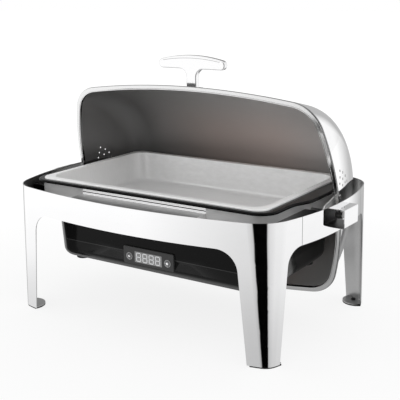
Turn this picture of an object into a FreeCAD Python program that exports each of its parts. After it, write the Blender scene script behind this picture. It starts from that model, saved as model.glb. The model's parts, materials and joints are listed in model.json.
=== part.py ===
"""Roll-top chafing dish food warmer, built as separate pieces in one frame.

Millimetres. The origin is on the floor under the centre of the stand, +Z is up,
+X runs along the long side and the front (control panel side) faces -Y.
The cover is drawn closed and then swung open to its rest position.
"""
import FreeCAD
import Part
import math
import os

Vec = FreeCAD.Vector
X_AXIS = Vec(1, 0, 0)
Y_AXIS = Vec(0, 1, 0)
Z_AXIS = Vec(0, 0, 1)

# stand: a bowed rectangular band on four tapering corner legs, all one sheet gauge
STAND_HALF_LENGTH = 333.0
STAND_HALF_DEPTH = 233.0
STAND_BOW_FRONT = 36.5
STAND_BOW_END = 36.5
STAND_TOP_CORNER = 70.0
STAND_FOOT_CORNER = 28.0
STAND_TOP = 263.6
BAND_BOTTOM = 212.0
STAND_SHEET = 1.5
SEAM_Y = 121.0
FRONT_ARCH_HALF_FOOT = 257.0
FRONT_ARCH_HALF_TOP = 237.5
FRONT_ARCH_CORNER = 42.0
END_ARCH_HALF_FOOT = 172.0
END_ARCH_HALF_TOP = 152.5
END_ARCH_CORNER = 34.0

# feet
PAD_THICK = 2.5
FOOT_PLATE_THICK = 2.0
FOOT_CENTRE = (287.0, 190.0)
FOOT_PLATE_RADIUS = 29.0
FOOT_SCREW_AT = (281.0, 187.0)

# cover pivot line and opening
PIVOT_Z = 241.0
OPEN_DEG = 77.23

# cover: a surface of revolution about the pivot line, cut off by the rim plane
RIM_PLANE = 29.4
RIM_HALF_LENGTH = 320.5
RIM_RADIUS = 220.6
RIM_BOW_FRONT = 22.5
RIM_BOW_END = 36.6
RIM_CORNER = 68.0
RIM_WIDTH = 8.0
RIM_HEIGHT = 5.0
COVER_SHEET = 1.0
VENT_RADIUS = 1.8
VENT_ROW_STEP = (-2.9, -11.8)
VENT_ROWS = (3, 3, 2, 1)
VENT_TOPS_RIGHT = ((55.6, 309.7), (70.5, 303.8), (83.7, 294.5), (93.2, 282.3))
VENT_TOPS_LEFT = ((72.9, 293.9), (87.1, 287.4), (98.7, 278.3), (106.1, 267.4))

# hinge hardware
BOX_HALF_WIDTH = 28.4
BOX_REACH = 356.0
BOX_BOTTOM = 223.0
BOX_TOP = 258.2
BOX_SHEET = 1.5
BOLT_RADIUS = 4.0
SLEEVE_RADIUS = 6.0
BUSH_RADIUS = 8.0
BUSH_FLANGE_RADIUS = 11.0
RUNNING_GAP = 0.05
ARM_INNER_X = 304.0
ARM_THICK = 3.0
ARM_HALF_WIDTH = 16.0
ARM_TOP = 60.0
RIVET_RADIUS = 2.0
RIVET_HEAD = 1.2

# pan carrier, a straight-sided brushed ring
CARRIER_HALF_LENGTH = 275.0
CARRIER_HALF_DEPTH = 165.0
CARRIER_CORNER = 38.0
CARRIER_BOTTOM = 230.0
CARRIER_SHEET = 1.5
LEDGE_HALF_LENGTH = 147.0
LEDGE_TOP = 255.0
LEDGE_SHEET = 1.5
SIDE_BRACKET_FRONT = -136.0
SIDE_BRACKET_REAR = -26.0
SIDE_BRACKET_TOP = 250.0

# black water pan
RIM_PAN_HALF_LENGTH = 281.0
RIM_PAN_HALF_DEPTH = 172.0
RIM_PAN_CORNER = 36.0
RIM_PAN_TOP = 272.6
RIM_PAN_BOTTOM = 267.5
LIP_REACH = 297.0
LIP_HALF_ROOT = 84.0
LIP_HALF_TIP = 42.0
WELL_HALF_LENGTH = 258.0
WELL_HALF_DEPTH = 156.0
WELL_BOTTOM = 196.0
WELL_SHEET = 1.0

# full-size gastronorm food pan, 530 x 325 over its flange and 65 deep
PAN_HALF_LENGTH = 265.0
PAN_HALF_DEPTH = 162.5
PAN_FLANGE = 12.5
PAN_FLANGE_TOP = 275.8
PAN_BEAD = 3.2
PAN_DEPTH = 65.0
PAN_SHEET = 0.8

# black heater casing
CASING_HALF_TOP = 254.9
CASING_HALF_BOTTOM = 246.9
CASING_HALF_DEPTH = 147.0
CASING_BOW_FRONT = 0.2
CASING_BOW_END = 6.8
CASING_CORNER = 38.0
CASING_BOTTOM_EDGE = 19.5
CASING_BOTTOM = 107.0
CASING_SHEET = 1.5
CASING_FLANGE = 18.0
CASING_MOUTH_CORNER = 20.0
CASING_FOOT_AT = (211.0, 102.0)
CASING_FOOT_RADIUS = 15.0
CASING_FOOT_HEIGHT = 11.0
CASING_FOOT_STEM = 4.0
BASE_COVER_SIZE = (300.0, 180.0, 1.2)

# control panel on the casing's front
PANEL_HALF_LENGTH = 61.0
PANEL_BOTTOM = 123.5
PANEL_TOP = 158.5
PANEL_FRONT = -150.5
PANEL_WALL = 3.0
WINDOW_HALF_LENGTH = 33.0
WINDOW_BOTTOM = 128.5
WINDOW_TOP = 150.5
WINDOW_THICK = 1.2
BUTTON_X = 46.5
BUTTON_Z = 138.5
BUTTON_RADIUS = 5.5
BUTTON_TRAVEL = 0.8
BOARD_FRONT = -137.5
BOARD_THICK = 1.6

# cover handle, drawn in the rest position
HANDLE_Y = 12.0
HANDLE_THICK = 12.0
HANDLE_UNDERSIDE = 492.0
HANDLE_END_HEIGHT = 19.0
HANDLE_CENTRE_TOP = 519.0
HANDLE_HALF_LENGTH = 79.5
HANDLE_STEM_HALF = 12.0
HANDLE_FLARE = 16.0
HANDLE_FOOT_THICK = 2.5
HANDLE_SCREW_X = 7.0

# power inlet at the back
INLET_X = 150.0
INLET_Z = 150.0


# ---------------------------------------------------------------- helpers

def box(x0, x1, y0, y1, z0, z1):
    """Axis-aligned box between two corners."""
    return Part.makeBox(x1 - x0, y1 - y0, z1 - z0, Vec(x0, y0, z0))


def rod(radius, start, end):
    """Round bar between two points."""
    along = end.sub(start)
    return Part.makeCylinder(radius, along.Length, start, along)


def tube(outer, inner, start, end):
    """Round tube between two points."""
    return rod(outer, start, end).cut(rod(inner, start, end))


def group(solids):
    """Several separate solids that make one node."""
    return Part.makeCompound(solids)


def both_ends(make):
    """The same piece at the right and the left end of the object."""
    right = make()
    return [right, right.mirror(Vec(0, 0, 0), X_AXIS)]


def rounded_wire(half_length, half_depth, corner, z):
    """Rounded rectangle centred on the Z axis at height z."""
    x = half_length - corner
    y = half_depth - corner
    reach = corner * math.sqrt(0.5)
    edges = []
    for sx, sy in ((1, -1), (1, 1), (-1, 1), (-1, -1)):
        on_end = Vec(sx * half_length, sy * y, z)
        on_side = Vec(sx * x, sy * half_depth, z)
        middle = Vec(sx * (x + reach), sy * (y + reach), z)
        first, last = (on_side, on_end) if sx * sy < 0 else (on_end, on_side)
        edges.append(Part.Arc(first, middle, last).toShape())
    wires = []
    for index, edge in enumerate(edges):
        wires.append(edge)
        start = edge.Vertexes[-1].Point
        end = edges[(index + 1) % 4].Vertexes[0].Point
        wires.append(Part.LineSegment(start, end).toShape())
    return Part.Wire(wires)


def rounded_block(half_length, half_depth, corner, z0, z1):
    """Upright block with rounded corners."""
    face = Part.Face(rounded_wire(half_length, half_depth, corner, z0))
    return face.extrude(Vec(0, 0, z1 - z0))


def tapered_block(top, bottom):
    """Loft between two rounded rectangles, each (half_length, half_depth, corner, z)."""
    return Part.makeLoft([rounded_wire(*bottom), rounded_wire(*top)], True, True)


def round_edges(solid, radius, wanted):
    """Fillet the edges whose centre passes the wanted test."""
    edges = [edge for edge in solid.Edges if wanted(edge.CenterOfMass)]
    return solid.makeFillet(radius, edges)


def bowed_corner(half_length, half_depth, bow_front, bow_end, corner):
    """Points of one quarter of a bowed rectangle, from its front middle to its end middle.

    Both bows are arcs and the corner is an arc tangent to them. Returned in the first
    quadrant: front middle, front tangent point, corner middle, end tangent point, end middle.
    """
    cross_x = half_length - bow_end
    cross_y = half_depth - bow_front
    front_radius = (cross_x ** 2 + bow_front ** 2) / (2 * bow_front)
    end_radius = (cross_y ** 2 + bow_end ** 2) / (2 * bow_end)
    front_centre = Vec(0, half_depth - front_radius, 0)
    end_centre = Vec(half_length - end_radius, 0, 0)
    between = end_centre.sub(front_centre)
    gap = between.Length
    reach_front = front_radius - corner
    reach_end = end_radius - corner
    along = (reach_front ** 2 - reach_end ** 2 + gap ** 2) / (2 * gap)
    aside = math.sqrt(reach_front ** 2 - along ** 2)
    unit = between.multiply(1 / gap)
    normal = Vec(-unit.y, unit.x, 0)
    if normal.y < 0:
        normal = normal.negative()
    centre = front_centre.add(Vec(unit).multiply(along)).add(Vec(normal).multiply(aside))
    to_front = centre.sub(front_centre).normalize()
    to_end = centre.sub(end_centre).normalize()
    on_front = front_centre.add(Vec(to_front).multiply(front_radius))
    on_end = end_centre.add(Vec(to_end).multiply(end_radius))
    bisector = to_front.add(to_end).normalize()
    middle = centre.add(Vec(bisector).multiply(corner))
    return Vec(0, half_depth, 0), on_front, middle, on_end, Vec(half_length, 0, 0)


def bowed_wire(half_length, half_depth, bow_front, bow_end, corner, z):
    """Whole bowed rectangle as eight arcs."""
    top, on_front, middle, on_end, side = bowed_corner(
        half_length, half_depth, bow_front, bow_end, corner)

    def at(point, sx, sy):
        return Vec(sx * point.x, sy * point.y, z)

    edges = []
    corners = ((1, -1), (1, 1), (-1, 1), (-1, -1))
    for index, (sx, sy) in enumerate(corners):
        next_sx, next_sy = corners[(index + 1) % 4]
        first, last = (on_front, on_end) if sx * sy < 0 else (on_end, on_front)
        edges.append(Part.Arc(at(first, sx, sy), at(middle, sx, sy), at(last, sx, sy)).toShape())
        crown = side if sx == next_sx else top
        apex = at(crown, sx, sy)
        edges.append(Part.Arc(at(last, sx, sy), apex, at(last, next_sx, next_sy)).toShape())
    return Part.Wire(edges)


# ---------------------------------------------------------------- stand

def stand_solid(inset):
    """Full-height stand block, inset from its outer surface."""
    length = STAND_HALF_LENGTH - inset
    depth = STAND_HALF_DEPTH - inset
    wires = []
    for corner, z in ((STAND_FOOT_CORNER, PAD_THICK), (STAND_TOP_CORNER, STAND_TOP)):
        wires.append(bowed_wire(length, depth, STAND_BOW_FRONT, STAND_BOW_END, corner - inset, z))
    return Part.makeLoft(wires, True, True)


def arch_block(half_foot, half_top, corner, along_y):
    """Block that cuts an arch through two opposite sides of the stand."""
    reach = 400.0
    foot = PAD_THICK - 1.0
    slope = (half_foot - half_top) / (BAND_BOTTOM - PAD_THICK)
    half_foot = half_foot + slope
    points = [(-half_foot, foot), (half_foot, foot), (half_top, BAND_BOTTOM), (-half_top, BAND_BOTTOM)]
    if along_y:
        wire = Part.makePolygon([Vec(a, -reach, z) for a, z in points + points[:1]])
        block = Part.Face(wire).extrude(Vec(0, 2 * reach, 0))
    else:
        wire = Part.makePolygon([Vec(-reach, a, z) for a, z in points + points[:1]])
        block = Part.Face(wire).extrude(Vec(2 * reach, 0, 0))
    upper = [edge for edge in block.Edges
             if edge.CenterOfMass.z > BAND_BOTTOM - 1 and edge.Length > 2 * reach - 1]
    return block.makeFillet(corner, upper)


def stand_pieces():
    """Front frame, rear frame and the two end bands."""
    sheet = stand_solid(0).cut(stand_solid(STAND_SHEET))
    sheet = sheet.cut(arch_block(FRONT_ARCH_HALF_FOOT, FRONT_ARCH_HALF_TOP, FRONT_ARCH_CORNER, True))
    sheet = sheet.cut(arch_block(END_ARCH_HALF_FOOT, END_ARCH_HALF_TOP, END_ARCH_CORNER, False))
    front = sheet.common(box(-400, 400, -300, -SEAM_Y, 0, 300))
    rear = sheet.common(box(-400, 400, SEAM_Y, 300, 0, 300))
    bolt = rod(BOLT_RADIUS + 0.25, Vec(-400, 0, PIVOT_Z), Vec(400, 0, PIVOT_Z))
    right = sheet.common(box(200, 400, -SEAM_Y, SEAM_Y, 0, 300)).cut(bolt)
    left = sheet.common(box(-400, -200, -SEAM_Y, SEAM_Y, 0, 300)).cut(bolt)
    return front, rear, left, right


def leg_foot_disc(radius, z0, z1):
    """Disc at each leg's foot."""
    discs = []
    for sx in (-1, 1):
        for sy in (-1, 1):
            x = sx * FOOT_CENTRE[0]
            y = sy * FOOT_CENTRE[1]
            discs.append(rod(radius, Vec(x, y, z0), Vec(x, y, z1)))
    return discs


def foot_screw_points():
    """Axis of the pad screw in each foot."""
    points = []
    for sx in (-1, 1):
        for sy in (-1, 1):
            points.append((sx * FOOT_SCREW_AT[0], sy * FOOT_SCREW_AT[1]))
    return points


def foot_plates():
    """Small steel plate across the inside of each leg's foot."""
    inside = stand_solid(STAND_SHEET)
    z0 = PAD_THICK
    z1 = PAD_THICK + FOOT_PLATE_THICK
    plates = []
    for disc, (x, y) in zip(leg_foot_disc(FOOT_PLATE_RADIUS, z0, z1), foot_screw_points()):
        hole = rod(2.2, Vec(x, y, z0 - 1), Vec(x, y, z1 + 1))
        plates.append(disc.common(inside).cut(hole))
    return group(plates)


def foot_pads():
    """Rubber pad under each foot plate and the leg's edge."""
    outline = Part.Face(bowed_wire(STAND_HALF_LENGTH - 0.4, STAND_HALF_DEPTH - 0.4, STAND_BOW_FRONT,
                                   STAND_BOW_END, STAND_FOOT_CORNER - 0.4, 0))
    footprint = outline.extrude(Vec(0, 0, PAD_THICK))
    pads = []
    for disc, (x, y) in zip(leg_foot_disc(FOOT_PLATE_RADIUS, 0, PAD_THICK), foot_screw_points()):
        hole = rod(2.2, Vec(x, y, 0.8), Vec(x, y, PAD_THICK + 1))
        pads.append(disc.common(footprint).cut(hole))
    return group(pads)


def foot_screws():
    """Screw that holds each pad to its foot plate."""
    screws = []
    top = PAD_THICK + FOOT_PLATE_THICK
    for x, y in foot_screw_points():
        shank = rod(2.0, Vec(x, y, 1.0), Vec(x, y, top))
        head = round_edges(rod(4.5, Vec(x, y, top), Vec(x, y, top + 2.4)), 1.0,
                           lambda point: point.z > top + 2)
        socket = rod(1.6, Vec(x, y, top + 0.8), Vec(x, y, top + 3))
        screws.append(shank.fuse(head).cut(socket))
    return group(screws)


# ---------------------------------------------------------------- hinge hardware

def hinge_box():
    """Channel bracket on the right end band, open at its front and back."""
    start = STAND_HALF_LENGTH - 6
    outer = box(start, BOX_REACH, -BOX_HALF_WIDTH, BOX_HALF_WIDTH, BOX_BOTTOM, BOX_TOP)
    outer = round_edges(outer, 3.0, lambda point: abs(point.x - BOX_REACH) < 0.1 and abs(point.y) < 1)
    inner = box(start - 1, BOX_REACH - BOX_SHEET, -BOX_HALF_WIDTH - 1, BOX_HALF_WIDTH + 1,
                BOX_BOTTOM + BOX_SHEET, BOX_TOP - BOX_SHEET)
    inner = round_edges(inner, 1.5,
                        lambda point: abs(point.x - BOX_REACH + BOX_SHEET) < 0.1 and abs(point.y) < 1)
    return outer.cut(inner).cut(stand_solid(0))


def pivot_bolt():
    """Hexagon bolt through the band, the sleeve and the carrier's end wall."""
    head_x = STAND_HALF_LENGTH + 1.6
    shank = rod(BOLT_RADIUS, Vec(CARRIER_HALF_LENGTH - 11, 0, PIVOT_Z), Vec(head_x, 0, PIVOT_Z))
    head = hexagon(6.5, Vec(head_x, 0, PIVOT_Z), 5.3)
    return shank.fuse(head)


def hexagon(half_flats, base, height):
    """Hexagonal prism along +X from base."""
    radius = half_flats / math.cos(math.pi / 6)
    points = []
    for step in range(7):
        angle = math.pi / 3 * step
        points.append(base.add(Vec(0, radius * math.cos(angle), radius * math.sin(angle))))
    return Part.Face(Part.makePolygon(points)).extrude(Vec(height, 0, 0))


def pivot_washer():
    """Flat washer under the bolt's head."""
    x0 = STAND_HALF_LENGTH
    return tube(8.0, BOLT_RADIUS + 0.2, Vec(x0, 0, PIVOT_Z), Vec(x0 + 1.6, 0, PIVOT_Z))


def pivot_nut():
    """Hexagon nut inside the carrier's end wall."""
    x0 = CARRIER_HALF_LENGTH - CARRIER_SHEET - 6.5
    nut = hexagon(6.5, Vec(x0, 0, PIVOT_Z), 6.5)
    return nut.cut(rod(BOLT_RADIUS, Vec(x0 - 1, 0, PIVOT_Z), Vec(x0 + 8, 0, PIVOT_Z)))


def pivot_sleeve():
    """Spacer tube between the band and the carrier, on which the cover arm turns."""
    return tube(SLEEVE_RADIUS, BOLT_RADIUS + 0.2, Vec(CARRIER_HALF_LENGTH, 0, PIVOT_Z),
                Vec(STAND_HALF_LENGTH - STAND_SHEET - 0.04, 0, PIVOT_Z))


# ---------------------------------------------------------------- carrier

def carrier_ring():
    """Brushed ring that the water pan hangs in, with an inward flange at its foot."""
    top = RIM_PAN_TOP - 0.8
    ring = rounded_block(CARRIER_HALF_LENGTH, CARRIER_HALF_DEPTH, CARRIER_CORNER, CARRIER_BOTTOM, top)
    room = rounded_block(CARRIER_HALF_LENGTH - CARRIER_SHEET, CARRIER_HALF_DEPTH - CARRIER_SHEET,
                         CARRIER_CORNER - CARRIER_SHEET, CARRIER_BOTTOM + CARRIER_SHEET, top + 1)
    opening = rounded_block(WELL_HALF_LENGTH + 3, WELL_HALF_DEPTH + 3, 26.0,
                            CARRIER_BOTTOM - 1, CARRIER_BOTTOM + 3)
    ring = ring.cut(room).cut(opening)
    bolt = rod(BOLT_RADIUS + 0.25, Vec(-300, 0, PIVOT_Z), Vec(300, 0, PIVOT_Z))
    return ring.cut(bolt)


def front_ledge():
    """Folded shelf between the carrier's front and the band; the closed cover's rim is above it."""
    inside = stand_solid(STAND_SHEET)
    reach = -STAND_HALF_DEPTH
    wall = -CARRIER_HALF_DEPTH
    plate = box(-LEDGE_HALF_LENGTH, LEDGE_HALF_LENGTH, reach, wall, LEDGE_TOP - LEDGE_SHEET, LEDGE_TOP)
    drop = box(-LEDGE_HALF_LENGTH, LEDGE_HALF_LENGTH, wall - LEDGE_SHEET, wall,
               CARRIER_BOTTOM, LEDGE_TOP)
    ledge = plate.fuse(drop)
    for sx in (-1, 1):
        edge = sx * LEDGE_HALF_LENGTH
        low, high = sorted((edge, edge - sx * LEDGE_SHEET))
        ledge = ledge.fuse(box(low, high, reach, wall, CARRIER_BOTTOM, LEDGE_TOP))
    face = stand_solid(STAND_SHEET).cut(stand_solid(STAND_SHEET * 2))
    tab = face.common(box(-LEDGE_HALF_LENGTH, LEDGE_HALF_LENGTH, -300, 0, CARRIER_BOTTOM, LEDGE_TOP))
    return ledge.common(inside).fuse(tab).removeSplitter()


def side_bracket():
    """Plate that carries the carrier's end on the end band, ahead of the cover's sweep."""
    z0 = SIDE_BRACKET_TOP - CARRIER_SHEET
    plate = box(CARRIER_HALF_LENGTH, 400, SIDE_BRACKET_FRONT, SIDE_BRACKET_REAR, z0, SIDE_BRACKET_TOP)
    drop = box(CARRIER_HALF_LENGTH, CARRIER_HALF_LENGTH + CARRIER_SHEET, SIDE_BRACKET_FRONT,
               SIDE_BRACKET_REAR, CARRIER_BOTTOM, SIDE_BRACKET_TOP)
    inside = stand_solid(STAND_SHEET)
    face = inside.cut(stand_solid(STAND_SHEET * 2))
    tab = face.common(box(250, 400, SIDE_BRACKET_FRONT, SIDE_BRACKET_REAR, 226, SIDE_BRACKET_TOP))
    carrier = rounded_block(CARRIER_HALF_LENGTH, CARRIER_HALF_DEPTH, CARRIER_CORNER, 200, 300)
    return plate.fuse(drop).common(inside).fuse(tab).cut(carrier).removeSplitter()


# ---------------------------------------------------------------- pans

def pan_rim_block(inset, z0, z1, edge_radius):
    """Water pan rim outline with a finger lip at each end, inset from its outer edge."""
    block = rounded_block(RIM_PAN_HALF_LENGTH - inset, RIM_PAN_HALF_DEPTH - inset,
                          RIM_PAN_CORNER - inset, z0, z1)
    for sx in (-1, 1):
        root = sx * (RIM_PAN_HALF_LENGTH - 20)
        base = sx * (RIM_PAN_HALF_LENGTH - inset)
        tip = sx * (LIP_REACH - inset)
        points = [(root, -LIP_HALF_ROOT), (base, -LIP_HALF_ROOT), (tip, -LIP_HALF_TIP),
                  (tip, LIP_HALF_TIP), (base, LIP_HALF_ROOT), (root, LIP_HALF_ROOT)]
        wire = Part.makePolygon([Vec(x, y, z0) for x, y in points + points[:1]])
        block = block.fuse(Part.Face(wire).extrude(Vec(0, 0, z1 - z0)))
    block = block.removeSplitter()
    middle = (z0 + z1) / 2

    def bend(point):
        upright = abs(point.z - middle) < 0.1
        return upright and abs(point.x) > RIM_PAN_HALF_LENGTH - 3 and abs(point.y) < LIP_HALF_ROOT + 2

    block = round_edges(block, 60.0, bend)
    if edge_radius:
        block = round_edges(block, edge_radius, lambda point: point.z > z1 - 0.01)
    return block


def water_pan():
    """Black water pan: rolled rim, end lips and a tapered well."""
    rim = pan_rim_block(0, RIM_PAN_BOTTOM, RIM_PAN_TOP, 3.0)
    room = pan_rim_block(1.0, RIM_PAN_BOTTOM - 1, RIM_PAN_TOP - 0.8, 2.2)
    shell = tapered_block((WELL_HALF_LENGTH, WELL_HALF_DEPTH, 24.0, RIM_PAN_TOP - 0.4),
                          (WELL_HALF_LENGTH - 7, WELL_HALF_DEPTH - 7, 30.0, WELL_BOTTOM))
    shell = round_edges(shell, 10.0, lambda point: point.z < WELL_BOTTOM + 0.1)
    sheet = WELL_SHEET
    cavity = tapered_block((WELL_HALF_LENGTH - sheet + 0.1, WELL_HALF_DEPTH - sheet + 0.1, 23.0,
                            RIM_PAN_TOP + 1),
                           (WELL_HALF_LENGTH - 7 - sheet, WELL_HALF_DEPTH - 7 - sheet, 29.0,
                            WELL_BOTTOM + sheet))
    cavity = round_edges(cavity, 9.0, lambda point: point.z < WELL_BOTTOM + sheet + 0.1)
    return rim.cut(room).fuse(shell).cut(cavity).removeSplitter()


def food_pan():
    """Stainless food pan with a flat flange and a turned-down bead."""
    underside = PAN_FLANGE_TOP - PAN_BEAD
    flange = rounded_block(PAN_HALF_LENGTH, PAN_HALF_DEPTH, 22.0, underside, PAN_FLANGE_TOP)
    flange = round_edges(flange, 1.6, lambda point: point.z > PAN_FLANGE_TOP - 0.01)
    room = rounded_block(PAN_HALF_LENGTH - 2, PAN_HALF_DEPTH - 2, 20.0, underside - 1,
                         PAN_FLANGE_TOP - 1.0)
    length = PAN_HALF_LENGTH - PAN_FLANGE
    depth = PAN_HALF_DEPTH - PAN_FLANGE
    bottom = PAN_FLANGE_TOP - PAN_DEPTH
    shell = tapered_block((length, depth, 30.0, PAN_FLANGE_TOP - 0.5), (length - 9, depth - 9, 34.0, bottom))
    shell = round_edges(shell, 12.0, lambda point: point.z < bottom + 0.1)
    cavity = tapered_block((length - PAN_SHEET, depth - PAN_SHEET, 29.2, PAN_FLANGE_TOP + 0.5),
                           (length - 9 - PAN_SHEET, depth - 9 - PAN_SHEET, 33.2, bottom + PAN_SHEET))
    cavity = round_edges(cavity, 11.2, lambda point: point.z < bottom + PAN_SHEET + 0.1)
    return flange.cut(room).fuse(shell).cut(cavity).removeSplitter()


# ---------------------------------------------------------------- cover

def revolved_block(inset):
    """Solid of revolution of the cover's outline about the pivot line."""
    points = bowed_corner(RIM_HALF_LENGTH - inset, RIM_RADIUS - inset, RIM_BOW_FRONT, RIM_BOW_END,
                          RIM_CORNER - inset)
    crown, on_front, middle, on_end, side = [Vec(p.x, 0, p.y) for p in points]

    def flip(point):
        return Vec(-point.x, 0, point.z)

    end_bow = RIM_BOW_END
    half = on_end.z
    end_radius = ((RIM_RADIUS - inset - RIM_BOW_FRONT) ** 2 + end_bow ** 2) / (2 * end_bow)
    quarter = side.x - end_radius + math.sqrt(end_radius ** 2 - (half / 2) ** 2)
    end_middle = Vec(quarter, 0, half / 2)
    arcs = [
        Part.Arc(side, end_middle, on_end),
        Part.Arc(on_end, middle, on_front),
        Part.Arc(on_front, crown, flip(on_front)),
        Part.Arc(flip(on_front), flip(middle), flip(on_end)),
        Part.Arc(flip(on_end), flip(end_middle), flip(side)),
    ]
    edges = [arc.toShape() for arc in arcs]
    splines = [edge.Curve.toBSpline(edge.FirstParameter, edge.LastParameter) for edge in edges]
    outline = [spline.toShape() for spline in splines]
    outline.append(Part.LineSegment(flip(side), side).toShape())
    return Part.Face(Part.Wire(outline)).revolve(Vec(0, 0, 0), X_AXIS, 360)


def slab(z0, z1):
    """Slab between two heights over the pivot line, wider than the cover."""
    return box(-400, 400, -300, 300, z0, z1)


def swing(shape, degrees):
    """Turn a shape that is drawn closed about the pivot line, and lift it to the pivot's height."""
    moved = shape.copy()
    moved.rotate(Vec(0, 0, 0), Vec(-1, 0, 0), degrees)
    moved.translate(Vec(0, 0, PIVOT_Z))
    return moved


def cover_shell():
    """Half-barrel cover with a rolled rim, vent holes, rivet holes and handle screw holes."""
    outer = revolved_block(RIM_WIDTH)
    inner = revolved_block(RIM_WIDTH + COVER_SHEET)
    rim_top = RIM_PLANE + RIM_HEIGHT / 2
    rim_bottom = RIM_PLANE - RIM_HEIGHT / 2
    dome = outer.cut(inner).common(slab(rim_bottom, 300))
    rim = revolved_block(0).common(slab(rim_bottom, rim_top)).cut(revolved_block(RIM_WIDTH + 0.5))
    rim = round_rim(rim)
    shell = swing(dome.fuse(rim).removeSplitter(), OPEN_DEG)
    for cutter in vent_cutters() + rivet_holes() + handle_screw_holes():
        shell = shell.cut(cutter)
    return shell


def round_rim(rim):
    """Roll the rim's outer edges."""
    edges = [edge for edge in rim.Edges if edge.BoundBox.ZLength < 0.01 and is_outer(edge)]
    return rim.makeFillet(2.2, edges)


def is_outer(edge):
    """True for an edge that lies on the rim's outer surface."""
    point = edge.valueAt(0.5 * (edge.FirstParameter + edge.LastParameter))
    return math.hypot(point.y, point.z) > bowed_radius_at(abs(point.x), RIM_WIDTH) + 1.5


def bowed_radius_at(x, inset):
    """Radius of the inset cover outline at a place along the pivot line."""
    points = bowed_corner(RIM_HALF_LENGTH - inset, RIM_RADIUS - inset, RIM_BOW_FRONT, RIM_BOW_END,
                          RIM_CORNER - inset)
    crown, on_front, middle, on_end, side = points
    if x <= on_front.x:
        radius = ((RIM_HALF_LENGTH - inset - RIM_BOW_END) ** 2 + RIM_BOW_FRONT ** 2) / (2 * RIM_BOW_FRONT)
        return crown.y - radius + math.sqrt(radius ** 2 - x ** 2)
    if x >= on_end.x:
        return 0.0
    share = (x - on_front.x) / (on_end.x - on_front.x)
    return on_front.y + (on_end.y - on_front.y) * share


def vent_cutters():
    """Triangular patterns of steam holes through both ends of the open cover."""
    cutters = []
    for sx, tops in ((1, VENT_TOPS_RIGHT), (-1, VENT_TOPS_LEFT)):
        for (top_y, top_z), rows in zip(tops, VENT_ROWS):
            for row in range(rows):
                y = top_y + row * VENT_ROW_STEP[0]
                z = top_z + row * VENT_ROW_STEP[1]
                cutters.append(rod(VENT_RADIUS, Vec(sx * 280, y, z), Vec(sx * 330, y, z)))
    return cutters


def rivet_points():
    """Rivet places on the hinge arm, in the closed cover's own frame: (y, z)."""
    return [(-9.0, 40.0), (9.0, 40.0), (-9.0, 53.0), (9.0, 53.0)]


def rivet_holes():
    """Holes for the arm rivets."""
    holes = []
    for y, z in rivet_points():
        for sx in (-1, 1):
            hole = rod(RIVET_RADIUS, Vec(sx * 295, y, z), Vec(sx * 325, y, z))
            holes.append(swing(hole, OPEN_DEG))
    return holes


def hinge_arm():
    """Flat arm inside the cover's right end, from the rivets down to the pivot."""
    x0 = ARM_INNER_X
    x1 = ARM_INNER_X + ARM_THICK
    plate = box(x0, x1, -ARM_HALF_WIDTH, ARM_HALF_WIDTH, 0, ARM_TOP)
    plate = round_edges(plate, 8.0, lambda point: point.z > ARM_TOP - 1 and abs(point.y) > 10
                        and abs(point.x - (x0 + x1) / 2) < 0.1)
    eye = rod(ARM_HALF_WIDTH, Vec(x0, 0, 0), Vec(x1, 0, 0))
    arm = plate.fuse(eye).removeSplitter()
    arm = arm.cut(rod(BUSH_RADIUS, Vec(x0 - 1, 0, 0), Vec(x1 + 1, 0, 0)))
    for y, z in rivet_points():
        arm = arm.cut(rod(RIVET_RADIUS, Vec(x0 - 1, y, z), Vec(x1 + 1, y, z)))
    return swing(arm, OPEN_DEG)


def arm_rivets():
    """Rivets with low round heads that hold the arm to the cover's end."""
    wall = revolved_block(RIM_WIDTH)
    head_limit = revolved_block(RIM_WIDTH - RIVET_HEAD)
    rivets = []
    for y, z in rivet_points():
        shank = rod(RIVET_RADIUS, Vec(ARM_INNER_X - 1, y, z), Vec(RIM_HALF_LENGTH, y, z)).common(wall)
        inner_head = rod(3.6, Vec(ARM_INNER_X - RIVET_HEAD, y, z), Vec(ARM_INNER_X, y, z))
        bar = rod(3.6, Vec(ARM_INNER_X, y, z), Vec(RIM_HALF_LENGTH, y, z))
        outer_head = bar.common(head_limit).cut(wall)
        rivets.append(swing(shank.fuse(inner_head).fuse(outer_head), OPEN_DEG))
    return rivets


def arm_spacers():
    """Short tubes that keep the arm off the cover's curved end at each rivet."""
    room = revolved_block(RIM_WIDTH + COVER_SHEET)
    spacers = []
    for y, z in rivet_points():
        start = Vec(ARM_INNER_X + ARM_THICK, y, z)
        spacer = tube(3.6, RIVET_RADIUS, start, Vec(RIM_HALF_LENGTH, y, z)).common(room)
        spacers.append(swing(spacer, OPEN_DEG))
    return spacers


def arm_bush():
    """Flanged plastic bush pressed into the arm, turning on the sleeve."""
    x0 = ARM_INNER_X
    body = rod(BUSH_RADIUS, Vec(x0 - 3, 0, 0), Vec(x0 + ARM_THICK + 3, 0, 0))
    flange = rod(BUSH_FLANGE_RADIUS, Vec(x0 - 1.6, 0, 0), Vec(x0, 0, 0))
    bore = rod(SLEEVE_RADIUS + RUNNING_GAP, Vec(x0 - 5, 0, 0), Vec(x0 + 10, 0, 0))
    return swing(body.fuse(flange).cut(bore), 0)


# ---------------------------------------------------------------- handle

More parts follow.
